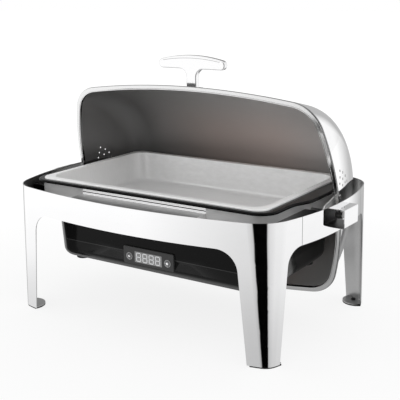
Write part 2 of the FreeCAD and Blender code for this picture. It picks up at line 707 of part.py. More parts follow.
def handle_outline():
    """T shape with an arched crossbar and flared stem, in the XZ plane.

    The crossbar's top arc runs tangent into its round ends.
    """
    low = HANDLE_UNDERSIDE
    end = HANDLE_END_HEIGHT / 2
    end_x = HANDLE_HALF_LENGTH - end
    drop = low + end - HANDLE_CENTRE_TOP
    top_radius = (end ** 2 - end_x ** 2 - drop ** 2) / (2 * (drop + end))
    lean = math.asin(end_x / (top_radius - end))
    join_x = top_radius * math.sin(lean)
    join_z = HANDLE_CENTRE_TOP - top_radius * (1 - math.cos(lean))
    turn = (math.pi / 2 - lean) / 2 - math.pi / 4
    crest_x = end_x + end * math.cos(turn)
    crest_z = low + end + end * math.sin(turn)
    side = HANDLE_STEM_HALF
    root = PIVOT_Z + RIM_RADIUS - RIM_WIDTH - 12
    flare = HANDLE_FLARE
    tip = math.sqrt(0.5) * flare

    def at(x, z):
        return Vec(x, 0, z)

    def arc(first, middle, last):
        return Part.Arc(at(*first), at(*middle), at(*last)).toShape()

    def line(first, last):
        return Part.LineSegment(at(*first), at(*last)).toShape()

    edges = [arc((join_x, join_z), (0, HANDLE_CENTRE_TOP), (-join_x, join_z))]
    for sx in (-1, 1):
        edges.append(arc((sx * join_x, join_z), (sx * crest_x, crest_z), (sx * end_x, low)))
        edges.append(line((sx * end_x, low), (sx * (side + flare), low)))
        edges.append(arc((sx * (side + flare), low), (sx * (side + flare - tip), low - flare + tip),
                         (sx * side, low - flare)))
        edges.append(line((sx * side, low - flare), (sx * side, root)))
    edges.append(line((-side, root), (side, root)))
    return Part.Wire(Part.__sortEdges__(edges))


def cover_handle():
    """Cast T handle standing on its foot plate."""
    face = Part.Face(handle_outline())
    face.translate(Vec(0, HANDLE_Y - HANDLE_THICK / 2, 0))
    body = face.extrude(Vec(0, HANDLE_THICK, 0))
    body = body.cut(swing(revolved_block(RIM_WIDTH - HANDLE_FOOT_THICK), 0))
    front = HANDLE_Y - HANDLE_THICK / 2

    def outline_edge(point):
        on_face = abs(point.y - front) < 0.01 or abs(point.y - front - HANDLE_THICK) < 0.01
        return on_face and point.z > HANDLE_UNDERSIDE - HANDLE_FLARE - 15

    body = round_edges(body, 2.5, outline_edge)
    for x in (-HANDLE_SCREW_X, HANDLE_SCREW_X):
        body = body.cut(rod(2.5, Vec(x, HANDLE_Y, 440), Vec(x, HANDLE_Y, 476)))
    return body


def handle_foot():
    """Curved plate between the handle's stem and the cover."""
    low = revolved_block(RIM_WIDTH)
    high = revolved_block(RIM_WIDTH - HANDLE_FOOT_THICK)
    post = box(-20, 20, -12, 12, 0, 300)
    post = round_edges(post, 8.0, lambda point: abs(point.x) > 19 and abs(point.y) > 11)
    post.translate(Vec(0, HANDLE_Y, 0))
    foot = swing(high.cut(low).common(post), 0)
    for hole in handle_screw_holes():
        foot = foot.cut(hole)
    return foot


def handle_screw_holes():
    """Clearance holes for the handle screws."""
    holes = []
    for x in (-HANDLE_SCREW_X, HANDLE_SCREW_X):
        holes.append(rod(2.75, Vec(x, HANDLE_Y, 440), Vec(x, HANDLE_Y, 460)))
    return holes


def handle_seat():
    """Height of the washers inside the cover under the handle screws."""
    radius = bowed_radius_at(HANDLE_SCREW_X + 6, RIM_WIDTH + COVER_SHEET)
    return PIVOT_Z + math.sqrt(radius ** 2 - (HANDLE_Y + 6) ** 2) - 0.05


def handle_washers():
    """Washers inside the cover."""
    top = handle_seat()
    washers = []
    for x in (-HANDLE_SCREW_X, HANDLE_SCREW_X):
        washers.append(tube(5.5, 2.75, Vec(x, HANDLE_Y, top - 1), Vec(x, HANDLE_Y, top)))
    return washers


def handle_screws():
    """Pan-head screws from inside the cover into the handle's stem."""
    top = handle_seat() - 1
    screws = []
    for x in (-HANDLE_SCREW_X, HANDLE_SCREW_X):
        shank = rod(2.5, Vec(x, HANDLE_Y, top), Vec(x, HANDLE_Y, 474))
        head = rod(4.5, Vec(x, HANDLE_Y, top - 3), Vec(x, HANDLE_Y, top))
        head = round_edges(head, 1.2, lambda point: point.z < top - 2.9)
        screws.append(shank.fuse(head))
    return screws


# ---------------------------------------------------------------- heater casing

def casing_block(inset):
    """Casing block with bowed ends that lean out; the front and back stay upright."""
    slope = (CASING_HALF_TOP - CASING_HALF_BOTTOM) / (WELL_BOTTOM - CASING_BOTTOM)
    wires = []
    for z in (CASING_BOTTOM + inset, WELL_BOTTOM - inset):
        half_length = CASING_HALF_BOTTOM + slope * (z - CASING_BOTTOM) - inset
        wires.append(bowed_wire(half_length, CASING_HALF_DEPTH - inset, CASING_BOW_FRONT,
                                CASING_BOW_END, CASING_CORNER - inset, z))
    block = Part.makeLoft(wires, True, True)
    bottom = CASING_BOTTOM + inset
    return round_edges(block, CASING_BOTTOM_EDGE - inset, lambda point: point.z < bottom + 0.01)


def heater_casing():
    """Deep black casing with an inward top flange, screwed up to the water pan."""
    top = WELL_BOTTOM
    mouth = rounded_block(CASING_HALF_BOTTOM - CASING_BOW_END - CASING_FLANGE,
                          CASING_HALF_DEPTH - CASING_FLANGE, CASING_MOUTH_CORNER, top - 10, top + 1)
    casing = casing_block(0).cut(casing_block(CASING_SHEET)).cut(mouth)
    front = -CASING_HALF_DEPTH
    casing = casing.cut(box(-57, 57, front - 1, front + 3, 126.5, 155.5))
    back = CASING_HALF_DEPTH
    casing = casing.cut(box(INLET_X - 14, INLET_X + 14, back - 3, back + 1, INLET_Z - 10, INLET_Z + 10))
    for x in (INLET_X - 20, INLET_X + 20):
        casing = casing.cut(rod(1.6, Vec(x, back - 5, INLET_Z), Vec(x, back + 1, INLET_Z)))
    casing = casing.cut(box(-135, 135, -75, 75, CASING_BOTTOM - 1, CASING_BOTTOM + 3))
    for x, y in base_screw_points():
        casing = casing.cut(rod(2.0, Vec(x, y, CASING_BOTTOM - 1), Vec(x, y, CASING_BOTTOM + 3)))
    for x, y in casing_foot_points():
        casing = casing.cut(rod(CASING_FOOT_STEM, Vec(x, y, CASING_BOTTOM - 1),
                                Vec(x, y, CASING_BOTTOM + 3)))
    for x, y in stud_points():
        casing = casing.cut(rod(2.7, Vec(x, y, top - 5), Vec(x, y, top + 1)))
    return casing


def casing_foot_points():
    """Places of the rubber feet under the casing."""
    return [(sx * CASING_FOOT_AT[0], sy * CASING_FOOT_AT[1]) for sx in (-1, 1) for sy in (-1, 1)]


def casing_feet():
    """Push-in rubber feet under the casing, each held by a bead above the casing's floor."""
    feet = []
    low = CASING_BOTTOM - CASING_FOOT_HEIGHT
    floor = CASING_BOTTOM + CASING_SHEET
    for x, y in casing_foot_points():
        pad = rod(CASING_FOOT_RADIUS, Vec(x, y, low), Vec(x, y, CASING_BOTTOM))
        pad = round_edges(pad, 1.5, lambda point: point.z < low + 0.1).cut(casing_block(0))
        stem = rod(CASING_FOOT_STEM, Vec(x, y, CASING_BOTTOM - 1), Vec(x, y, floor))
        bead = rod(CASING_FOOT_STEM + 2, Vec(x, y, floor), Vec(x, y, floor + 3))
        bead = round_edges(bead, 1.5, lambda point: point.z > floor + 2.9)
        feet.append(pad.fuse(stem).fuse(bead))
    return feet


def stud_points():
    """Places of the weld studs under the water pan."""
    return [(x, y) for x in (-190.0, 0.0, 190.0) for y in (-136.0, 136.0)]


def mounting_studs():
    """Weld studs on the water pan's underside."""
    studs = []
    for x, y in stud_points():
        studs.append(rod(2.5, Vec(x, y, WELL_BOTTOM - 12), Vec(x, y, WELL_BOTTOM)))
    return studs


def stud_nuts():
    """Nuts that hold the casing up on the studs."""
    nuts = []
    top = WELL_BOTTOM - CASING_SHEET
    for x, y in stud_points():
        nut = hexagon(4.0, Vec(0, 0, 0), 4.0)
        nut.rotate(Vec(0, 0, 0), Y_AXIS, 90)
        nut.translate(Vec(x, y, top))
        nuts.append(nut.cut(rod(2.5, Vec(x, y, top - 6), Vec(x, y, top + 2))))
    return nuts


def base_screw_points():
    """Places of the base cover screws."""
    return [(x, y) for x in (-142.0, 0.0, 142.0) for y in (-82.0, 82.0)]


def base_cover():
    """Removable plate under the casing with rows of cooling slots."""
    length, depth, thick = BASE_COVER_SIZE
    z1 = CASING_BOTTOM
    plate = rounded_block(length / 2, depth / 2, 8, z1 - thick, z1)
    for row in range(2):
        for index in range(9):
            x = -96 + index * 24
            y = -36 + row * 72
            slot = rounded_block(4.0, 18.0, 3.9, z1 - thick - 1, z1 + 1)
            slot.translate(Vec(x, y, 0))
            plate = plate.cut(slot)
    for x, y in base_screw_points():
        plate = plate.cut(rod(2.0, Vec(x, y, z1 - 5), Vec(x, y, z1 + 1)))
    return plate


def base_screws():
    """Screws that hold the base cover."""
    screws = []
    z = CASING_BOTTOM - BASE_COVER_SIZE[2]
    for x, y in base_screw_points():
        shank = rod(1.9, Vec(x, y, z), Vec(x, y, z + 7))
        head = round_edges(rod(3.6, Vec(x, y, z - 2), Vec(x, y, z)), 0.8,
                           lambda point: point.z < z - 1.9)
        screws.append(shank.fuse(head))
    return screws


def heating_element():
    """Tubular element bent into a long loop under the water pan, with two cold ends."""
    radius = 3.5
    z = WELL_BOTTOM - radius - 0.2
    half = 120.0
    bend = 60.0
    parts = []
    for y in (-bend, bend):
        if y < 0:
            parts.append(rod(radius, Vec(-half, y, z), Vec(half, y, z)))
        else:
            parts.append(rod(radius, Vec(-half, y, z), Vec(-20, y, z)))
            parts.append(rod(radius, Vec(20, y, z), Vec(half, y, z)))
    for sx in (-1, 1):
        ring = Part.makeTorus(bend, radius, Vec(sx * half, 0, z), Z_AXIS)
        low, high = sorted((sx * half, sx * (half + 90)))
        parts.append(ring.common(box(low, high, -90, 90, z - 10, z + 10)))
    for x in (-20, 20):
        parts.append(Part.makeSphere(radius, Vec(x, bend, z)))
        parts.append(rod(radius, Vec(x, bend, z), Vec(x, bend, z - 22)))
        parts.append(rod(1.5, Vec(x, bend, z - 22), Vec(x, bend, z - 30)))
    element = parts[0]
    for piece in parts[1:]:
        element = element.fuse(piece)
    return element.removeSplitter()


def heat_shield():
    """Bright plate that holds the element up against the water pan."""
    z1 = WELL_BOTTOM - 7.4
    plate = rounded_block(196.0, 96.0, 20.0, z1 - 1.0, z1)
    for x in (-20, 20):
        plate = plate.cut(rod(5.0, Vec(x, 60, z1 - 5), Vec(x, 60, z1 + 5)))
    for x, y in shield_points():
        plate = plate.cut(rod(2.2, Vec(x, y, z1 - 5), Vec(x, y, z1 + 5)))
    plate = plate.cut(rod(10.0, Vec(0, 0, z1 - 5), Vec(0, 0, z1 + 5)))
    return plate.cut(rod(4.0, Vec(70, 0, z1 - 5), Vec(70, 0, z1 + 5)))


def shield_points():
    """Places of the heat shield's studs."""
    return [(sx * 186.0, sy * 84.0) for sx in (-1, 1) for sy in (-1, 1)]


def shield_studs():
    """Shouldered studs that carry the heat shield."""
    studs = []
    z = WELL_BOTTOM - 7.4
    for x, y in shield_points():
        shoulder = rod(4.0, Vec(x, y, z), Vec(x, y, WELL_BOTTOM))
        studs.append(shoulder.fuse(rod(2.0, Vec(x, y, z - 7), Vec(x, y, z))))
    return studs


def shield_nuts():
    """Nuts under the heat shield."""
    nuts = []
    top = WELL_BOTTOM - 8.4
    for x, y in shield_points():
        nut = hexagon(3.5, Vec(0, 0, 0), 3.2)
        nut.rotate(Vec(0, 0, 0), Y_AXIS, 90)
        nut.translate(Vec(x, y, top))
        nuts.append(nut.cut(rod(2.0, Vec(x, y, top - 6), Vec(x, y, top + 2))))
    return nuts


def thermal_cutout():
    """Disc cut-out pressed on the pan's underside through the shield."""
    top = WELL_BOTTOM - 0.2
    disc = rod(8.0, Vec(0, 0, top - 10), Vec(0, 0, top))
    tabs = box(-6.5, -5.7, -3, 3, top - 18, top - 9).fuse(box(5.7, 6.5, -3, 3, top - 18, top - 9))
    return disc.fuse(tabs)


def temperature_probe():
    """Small capsule probe beside the cut-out."""
    top = WELL_BOTTOM - 0.2
    return round_edges(rod(3.0, Vec(70, 0, top - 16), Vec(70, 0, top)), 0.8,
                       lambda point: point.z > top - 0.1)


# ---------------------------------------------------------------- control panel

def panel_bezel():
    """Grey panel frame with a window recess, two button holes and four board posts."""
    front = PANEL_FRONT
    casing = -CASING_HALF_DEPTH
    body = box(-PANEL_HALF_LENGTH, PANEL_HALF_LENGTH, front, casing, PANEL_BOTTOM, PANEL_TOP)
    body = round_edges(body, 3.0, lambda point: abs(point.x) > PANEL_HALF_LENGTH - 0.1
                       and not PANEL_BOTTOM + 1 < point.z < PANEL_TOP - 1
                       and abs(point.y - (front + casing) / 2) < 0.1)
    body = round_edges(body, 1.0, lambda point: point.y < front + 0.01)
    collar = box(-56, 56, casing, casing + 5, 127.5, 154.5)
    hollow = box(-54.5, 54.5, front + PANEL_WALL, casing + 6, 129, 153)
    bezel = body.fuse(collar).cut(hollow)
    recess = box(-WINDOW_HALF_LENGTH, WINDOW_HALF_LENGTH, front - 1, front + WINDOW_THICK,
                 WINDOW_BOTTOM, WINDOW_TOP)
    through = box(-31.5, 31.5, front - 1, front + 6, WINDOW_BOTTOM + 1.5, WINDOW_TOP - 1.5)
    bezel = bezel.cut(recess).cut(through)
    for sx in (-1, 1):
        x = sx * BUTTON_X
        bezel = bezel.cut(rod(BUTTON_RADIUS + 0.15, Vec(x, front - 1, BUTTON_Z),
                              Vec(x, front + 6, BUTTON_Z)))
    for x, z in board_screw_points():
        post = rod(2.4, Vec(x, front + PANEL_WALL - 0.5, z), Vec(x, BOARD_FRONT, z))
        bezel = bezel.fuse(post).cut(rod(1.1, Vec(x, front + PANEL_WALL + 2, z), Vec(x, -130, z)))
    return bezel.removeSplitter()


def board_screw_points():
    """Board screw places behind the panel: (x, z)."""
    return [(sx * 36.0, z) for sx in (-1, 1) for z in (132.0, 150.0)]


def display_window():
    """Tinted window flush with the panel."""
    front = PANEL_FRONT
    return box(-WINDOW_HALF_LENGTH + 0.1, WINDOW_HALF_LENGTH - 0.1, front, front + WINDOW_THICK,
               WINDOW_BOTTOM + 0.1, WINDOW_TOP - 0.1)


def display_module():
    """Four-digit display block behind the window."""
    start = PANEL_FRONT + WINDOW_THICK + 0.1
    return box(-30.5, 30.5, start, BOARD_FRONT, 130.5, 148.5)


def control_board():
    """Circuit board behind the panel."""
    board = box(-54, 54, BOARD_FRONT, BOARD_FRONT + BOARD_THICK, 129.5, 152.5)
    for x, z in board_screw_points():
        board = board.cut(rod(1.2, Vec(x, BOARD_FRONT - 1, z), Vec(x, BOARD_FRONT + 3, z)))
    chip = box(-8, 8, BOARD_FRONT + BOARD_THICK, BOARD_FRONT + BOARD_THICK + 2, 136, 144)
    plug = box(18, 30, BOARD_FRONT + BOARD_THICK, BOARD_FRONT + BOARD_THICK + 7, 136, 142)
    return board.fuse(chip).fuse(plug)


def board_screws():
    """Small screws that hold the board to the panel's posts."""
    screws = []
    back = BOARD_FRONT + BOARD_THICK
    for x, z in board_screw_points():
        shank = rod(1.1, Vec(x, back - 8, z), Vec(x, back, z))
        screws.append(shank.fuse(rod(2.2, Vec(x, back, z), Vec(x, back + 1.6, z))))
    return screws


def key_switches():
    """Low key switches on the board behind the two buttons."""
    switches = []
    for sx in (-1, 1):
        x = sx * BUTTON_X
        body = box(x - 3, x + 3, BOARD_FRONT - 3.4, BOARD_FRONT, BUTTON_Z - 3, BUTTON_Z + 3)
        switches.append(body)
    return switches


def button(sx, plus):
    """Round push button with a retaining flange, a stem and an engraved sign."""
    x = sx * BUTTON_X
    face = PANEL_FRONT - 1.2
    back = PANEL_FRONT + PANEL_WALL
    cap = rod(BUTTON_RADIUS, Vec(x, face, BUTTON_Z), Vec(x, back + 0.1, BUTTON_Z))
    cap = round_edges(cap, 0.8, lambda point: point.y < face + 0.01)
    flange = rod(BUTTON_RADIUS + 1.2, Vec(x, back + 0.1, BUTTON_Z), Vec(x, back + 1.1, BUTTON_Z))
    stem = rod(1.8, Vec(x, back + 1, BUTTON_Z), Vec(x, BOARD_FRONT - 3.4 - BUTTON_TRAVEL - 0.1, BUTTON_Z))
    piece = cap.fuse(flange).fuse(stem)
    piece = piece.cut(box(x - 2.4, x + 2.4, face - 1, face + 0.35, BUTTON_Z - 0.4, BUTTON_Z + 0.4))
    if plus:
        piece = piece.cut(box(x - 0.4, x + 0.4, face - 1, face + 0.35, BUTTON_Z - 2.4, BUTTON_Z + 2.4))
    return piece


# ---------------------------------------------------------------- electrics

def power_inlet():
    """Mains inlet set through the casing's back."""
    back = CASING_HALF_DEPTH
    flange = box(INLET_X - 25, INLET_X + 25, back, back + 3, INLET_Z - 12, INLET_Z + 12)
    flange = round_edges(flange, 5.0, lambda point: abs(point.x - INLET_X) > 24.9
                         and abs(point.z - INLET_Z) > 11.9)
    body = box(INLET_X - 13.5, INLET_X + 13.5, back - 20, back, INLET_Z - 9.5, INLET_Z + 9.5)
    recess = box(INLET_X - 12, INLET_X + 12, back - 14, back + 4, INLET_Z - 8, INLET_Z + 8)
    inlet = flange.fuse(body).cut(recess)
    for dx, dz in ((-7, -2), (0, 2), (7, -2)):
        pin = box(INLET_X + dx - 1, INLET_X + dx + 1, back - 16, back - 1, INLET_Z + dz - 2, INLET_Z + dz + 2)
        inlet = inlet.fuse(pin)
    for x in (INLET_X - 20, INLET_X + 20):
        inlet = inlet.cut(rod(1.6, Vec(x, back - 1, INLET_Z), Vec(x, back + 4, INLET_Z)))
    return inlet


def inlet_screws():
    """Screws that hold the mains inlet."""
    screws = []
    back = CASING_HALF_DEPTH + 3
    for x in (INLET_X - 20, INLET_X + 20):
        shank = rod(1.5, Vec(x, back - 8, INLET_Z), Vec(x, back, INLET_Z))
        head = round_edges(rod(2.8, Vec(x, back, INLET_Z), Vec(x, back + 1.8, INLET_Z)), 0.8,
                           lambda point: point.y > back + 1.7)
        screws.append(shank.fuse(head))
    return screws


def terminal_block():
    """Ceramic terminal block on the casing floor."""
    z = CASING_BOTTOM + CASING_SHEET
    block = box(150, 186, 20, 56, z, z + 16)
    for y in (26, 38, 50):
        block = block.cut(rod(2.5, Vec(149, y, z + 8), Vec(187, y, z + 8)))
    return block


def wire(points):
    """Insulated wire along a smooth path."""
    curve = Part.BSplineCurve()
    curve.interpolate([Vec(*point) for point in points])
    path = Part.Wire(curve.toShape())
    start = Vec(*points[0])
    direction = curve.tangent(curve.FirstParameter)[0]
    circle = Part.Wire(Part.makeCircle(1.2, start, direction))
    return path.makePipeShell([circle], True, False)


def wiring():
    """Wires from the inlet to the block, the element, the cut-out and the board."""
    floor = CASING_BOTTOM + CASING_SHEET
    back = CASING_HALF_DEPTH - 22.0
    element_end = WELL_BOTTOM - 35.5
    runs = [
        [(INLET_X - 7, back, INLET_Z), (158, 100, 140), (192, 60, 124), (187.5, 50, floor + 8)],
        [(INLET_X + 7, back, INLET_Z), (172, 104, 142), (204, 52, 126), (187.5, 38, floor + 8)],
        [(148.5, 50, floor + 8), (110, 54, 130), (50, 64, 146), (20, 60, element_end)],
        [(148.5, 38, floor + 8), (90, 30, 126), (20, 34, 150), (-20, 60, element_end)],
        [(148.5, 26, floor + 8), (120, -30, 126), (60, -100, 134), (24, -125.8, 139)],
    ]
    return [wire(run) for run in runs]


# ---------------------------------------------------------------- output

def build():
    """All nodes of the object by name."""
    front, rear, end_left, end_right = stand_pieces()
    boxes = both_ends(hinge_box)
    arms = both_ends(hinge_arm)
    brackets = both_ends(side_bracket)
    rivets = arm_rivets()
    spacers = arm_spacers()
    mirror = [piece.mirror(Vec(0, 0, 0), X_AXIS) for piece in rivets + spacers]
    return {
        "front_frame": front,
        "rear_frame": rear,
        "end_band_left": end_left,
        "end_band_right": end_right,
        "foot_plates": foot_plates(),
        "foot_pads": foot_pads(),
        "foot_screws": foot_screws(),
        "hinge_box_right": boxes[0],
        "hinge_box_left": boxes[1],
        "pivot_bolts": group(both_ends(pivot_bolt)),
        "pivot_washers": group(both_ends(pivot_washer)),
        "pivot_nuts": group(both_ends(pivot_nut)),
        "pivot_sleeves": group(both_ends(pivot_sleeve)),
        "carrier_ring": carrier_ring(),
        "front_ledge": front_ledge(),
        "side_bracket_right": brackets[0],
        "side_bracket_left": brackets[1],
        "water_pan": water_pan(),
        "food_pan": food_pan(),
        "cover_shell": cover_shell(),
        "hinge_arm_right": arms[0],
        "hinge_arm_left": arms[1],
        "arm_rivets": group(rivets + mirror[:len(rivets)]),
        "arm_spacers": group(spacers + mirror[len(rivets):]),
        "arm_bushes": group(both_ends(arm_bush)),
        "cover_handle": cover_handle(),
        "handle_foot": handle_foot(),
        "handle_washers": group(handle_washers()),
        "handle_screws": group(handle_screws()),
        "heater_casing": heater_casing(),
        "casing_feet": group(casing_feet()),
        "mounting_studs": group(mounting_studs()),
        "stud_nuts": group(stud_nuts()),
        "base_cover": base_cover(),
        "base_screws": group(base_screws()),
        "heating_element": heating_element(),
        "heat_shield": heat_shield(),
        "shield_studs": group(shield_studs()),
        "shield_nuts": group(shield_nuts()),
        "thermal_cutout": thermal_cutout(),
        "temperature_probe": temperature_probe(),
        "panel_bezel": panel_bezel(),
        "display_window": display_window(),
        "display_module": display_module(),
        "control_board": control_board(),
        "board_screws": group(board_screws()),
        "key_switches": group(key_switches()),
        "button_minus": button(-1, False),
        "button_plus": button(1, True),
        "power_inlet": power_inlet(),
        "inlet_screws": group(inlet_screws()),
        "terminal_block": terminal_block(),
        "wiring": group(wiring()),
    }


def main():
    os.makedirs("parts", exist_ok=True)
    for name, shape in build().items():
        shape.exportStep("parts/" + name + ".step")


main()
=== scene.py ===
"""Looks for the roll-top chafing dish: studio, camera, materials and the small printed pieces on the control
panel.
"""
import json
import math

import bmesh
import bpy
from mathutils import Matrix, Vector


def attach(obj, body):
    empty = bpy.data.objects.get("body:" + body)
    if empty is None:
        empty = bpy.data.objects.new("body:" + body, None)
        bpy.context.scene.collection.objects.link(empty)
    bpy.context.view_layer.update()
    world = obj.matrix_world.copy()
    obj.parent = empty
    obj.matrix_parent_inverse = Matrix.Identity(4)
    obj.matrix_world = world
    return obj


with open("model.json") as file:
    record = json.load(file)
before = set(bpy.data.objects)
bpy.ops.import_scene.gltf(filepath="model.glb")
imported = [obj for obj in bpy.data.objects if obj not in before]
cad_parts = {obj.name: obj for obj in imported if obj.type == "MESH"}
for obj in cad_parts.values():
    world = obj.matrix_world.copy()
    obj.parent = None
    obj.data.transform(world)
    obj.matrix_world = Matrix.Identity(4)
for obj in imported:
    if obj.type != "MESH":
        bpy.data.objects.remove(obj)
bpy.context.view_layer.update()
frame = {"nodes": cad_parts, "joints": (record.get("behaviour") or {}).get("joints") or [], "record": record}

# ---------------------------------------------------------------- camera and studio

LENS = 77.93
CAMERA_AT = Vector((0.99223, -1.40968, 0.66666))
CAMERA_YAW = -0.60323
CAMERA_PITCH = 0.25096
CAMERA_ROLL = -0.016438

FULL_TURN = 360.0
COVER_OPEN = math.radians(77.23)
COVER_RIM_END = 0.0325
COVER_RIM_FACE = 0.0276
SEAM_Y = 0.121
BAND_LOW = 0.20
HINGE_BOX_X = 0.343
HINGE_BOX_Z = 0.2406
GROOVE_TOP = 0.5135
GROOVE_BEND = 1.27
GROOVE_HALF = 0.068
CASING_TOP = 0.1965
CASING_LINE_Z = 0.1464
CASING_EDGE_Z = 0.1262
CASING_CORNER_X = 0.205
VENT_ROWS = (3, 3, 2, 1)
VENT_ROW_STEP = (-0.0029, -0.0118)
VENT_TOPS_RIGHT = ((0.0556, 0.3097), (0.0705, 0.3038), (0.0837, 0.2945), (0.0932, 0.2823))
VENT_SHADE_RADIUS = 0.0026
FINE_LINE_HALF = 0.0006
SHEARED_HALF_X = 0.290
SHEARED_HALF_Y = 0.190
SEAM_HALF = 0.0007
SEAM_INNER_X = 0.250
SHELF_HALF = 0.147
SHELF_FRONT = -0.200
SHELF_REAR = -0.168
CARRIER_FRONT = -0.163
# heights and half widths of the painted highlight band and of the painted dark line in it, above the shelf
PAINTED_BAND_Z = 0.2615
PAINTED_BAND_HALF = 0.0065
PAINTED_DARK_LINE_Z = 0.2598
PAINTED_DARK_LINE_HALF = 0.0009
FLOOR_HALF = 14.0
FLOOR_GLOW = 0.84
# what a mirror sees at each heading: 0 is the front, positive is the right
STUDIO_LEVELS = (
    (-180, 0.50), (-118, 0.50), (-98, 1.06), (-34, 1.06), (-8, 0.80), (0, 0.72), (8, 0.58),
    (11, 0.0), (51, 0.0), (54, 0.62), (62, 0.76), (80, 0.88), (100, 0.90), (118, 0.98),
    (164, 1.0), (176, 0.60), (180, 0.50),
)


def make_camera():
    """Camera above the front right corner, looking down at the stand."""
    yaw, pitch, roll = CAMERA_YAW, CAMERA_PITCH, CAMERA_ROLL
    forward = Vector((math.sin(yaw) * math.cos(pitch), math.cos(yaw) * math.cos(pitch), -math.sin(pitch)))
    right = forward.cross(Vector((0, 0, 1))).normalized()
    up = right.cross(forward)
    right_rolled = right * math.cos(roll) + up * math.sin(roll)
    up_rolled = up * math.cos(roll) - right * math.sin(roll)
    data = bpy.data.cameras.new("camera")
    data.lens = LENS
    data.sensor_width = 36.0
    camera = bpy.data.objects.new("camera", data)
    bpy.context.scene.collection.objects.link(camera)
    axes = Matrix((right_rolled, up_rolled, -forward)).transposed()
    camera.matrix_world = Matrix.Translation(CAMERA_AT) @ axes.to_4x4()
    bpy.context.scene.camera = camera


class Nodes:
    """Small helper that adds and links shader nodes."""

    def __init__(self, tree, clear=True):
        self.tree = tree
        if clear:
            self.tree.nodes.clear()

    def own_axes(self):
        """The piece's own normal and place, each as three numbers."""
        coordinates = self.add("ShaderNodeTexCoord")
        parts = []
        for name in ("Normal", "Object"):
            split = self.add("ShaderNodeSeparateXYZ")
            self.put(split, 0, coordinates.outputs[name])
            parts.append(split.outputs)
        return parts

    def grey(self, value):
        """Grey of a given value."""
        node = self.add("ShaderNodeCombineXYZ")
        for index in range(3):
            self.put(node, index, value)
        return node.outputs[0]

    def small(self, value, limit):
        """1 where the value's size is under the limit."""
        return self.math("LESS_THAN", self.math("ABSOLUTE", value), limit)

    def blend(self, share, first, second):
        """Number between two numbers."""
        node = self.add("ShaderNodeMix", data_type="FLOAT")
        self.put(node, 0, share)
        self.put(node, 2, first)
        self.put(node, 3, second)
        return node.outputs[0]

    def add(self, kind, **settings):
        node = self.tree.nodes.new(kind)
        for key, value in settings.items():
            setattr(node, key, value)
        return node

    def put(self, node, name, value):
        if isinstance(value, bpy.types.NodeSocket):
            self.tree.links.new(value, node.inputs[name])
        else:
            node.inputs[name].default_value = value

    def math(self, operation, first, second=0.0, third=0.0, clamp=False):
        node = self.add("ShaderNodeMath", operation=operation, use_clamp=clamp)
        for index, value in enumerate((first, second, third)):
            self.put(node, index, value)
        return node.outputs[0]

    def ramp(self, value, low, high, out_low=0.0, out_high=1.0):
        node = self.add("ShaderNodeMapRange", interpolation_type="SMOOTHSTEP")
        for name, item in (("Value", value), ("From Min", low), ("From Max", high),
                           ("To Min", out_low), ("To Max", out_high)):
            self.put(node, name, item)
        return node.outputs["Result"]

    def mix(self, share, first, second):
        node = self.add("ShaderNodeMix", data_type="RGBA")
        self.put(node, 0, share)
        self.put(node, 6, first)
        self.put(node, 7, second)
        return node.outputs[2]

    def noise(self, vector, scale, detail=2.0, roughness=0.5):
        node = self.add("ShaderNodeTexNoise")
        self.put(node, "Vector", vector)
        self.put(node, "Scale", scale)
        self.put(node, "Detail", detail)
        self.put(node, "Roughness", roughness)
        return node.outputs["Fac"]

    def stretched(self, scale):
        """Object coordinates stretched by a scale for each axis."""
        coordinates = self.add("ShaderNodeTexCoord").outputs["Object"]
        mapping = self.add("ShaderNodeMapping")
        self.put(mapping, "Vector", coordinates)
        self.put(mapping, "Scale", scale)
        return mapping.outputs["Vector"]

    def bump(self, height, strength, distance):
        node = self.add("ShaderNodeBump")
        self.put(node, "Height", height)
        self.put(node, "Strength", strength)
        self.put(node, "Distance", distance)
        return node.outputs["Normal"]


def studio_level(kit, x, y):
    """Brightness of the studio towards a heading, with a dark gap on the camera's side."""
    heading = kit.math("ARCTAN2", x, kit.math("MULTIPLY", y, -1.0))
    turn = kit.math("ADD", kit.math("DIVIDE", heading, math.radians(FULL_TURN)), 0.5)
    levels = kit.add("ShaderNodeValToRGB")
    kit.put(levels, 0, turn)
    stops = levels.color_ramp.elements
    while len(stops) > 1:
        stops.remove(stops[-1])
    for index, (degrees, level) in enumerate(STUDIO_LEVELS):
        place = degrees / FULL_TURN + 0.5
        stop = stops[0] if index == 0 else stops.new(place)
        stop.position = place
        stop.color = (level, level, level, 1)
    return levels.outputs["Color"]


def make_world():
    """White studio; reflections see its darker sides, and the camera sees plain white."""
    world = bpy.data.worlds.new("studio")
    bpy.context.scene.world = world
    world.use_nodes = True
    kit = Nodes(world.node_tree)
    parts = kit.add("ShaderNodeSeparateXYZ")
    kit.put(parts, 0, kit.add("ShaderNodeTexCoord").outputs["Generated"])
    x, y, z = parts.outputs
    level = kit.math("MAXIMUM", studio_level(kit, x, y), kit.ramp(z, 0.55, 0.75, 0.0, 0.86))
    rays = kit.add("ShaderNodeLightPath")
    mirrored = rays.outputs["Is Glossy Ray"]
    strength = kit.math("ADD", kit.math("MULTIPLY", mirrored, level),
                        kit.math("SUBTRACT", 1.0, mirrored))
    background = kit.add("ShaderNodeBackground")
    kit.put(background, "Strength", strength)
    kit.put(background, "Color", (1, 1, 1, 1))
    output = kit.add("ShaderNodeOutputWorld")
    kit.put(output, "Surface", background.outputs[0])


def make_light(name, place, target, size, power):
    """Rectangular soft light."""
    data = bpy.data.lights.new(name, "AREA")
    data.shape = "RECTANGLE"
    data.size, data.size_y = size
    data.energy = power
    light = bpy.data.objects.new(name, data)
    light.location = place
    light.rotation_mode = "QUATERNION"
    light.rotation_quaternion = (Vector(target) - Vector(place)).to_track_quat("-Z", "Y")
    light.visible_camera = False
    light.visible_glossy = False
    bpy.context.scene.collection.objects.link(light)


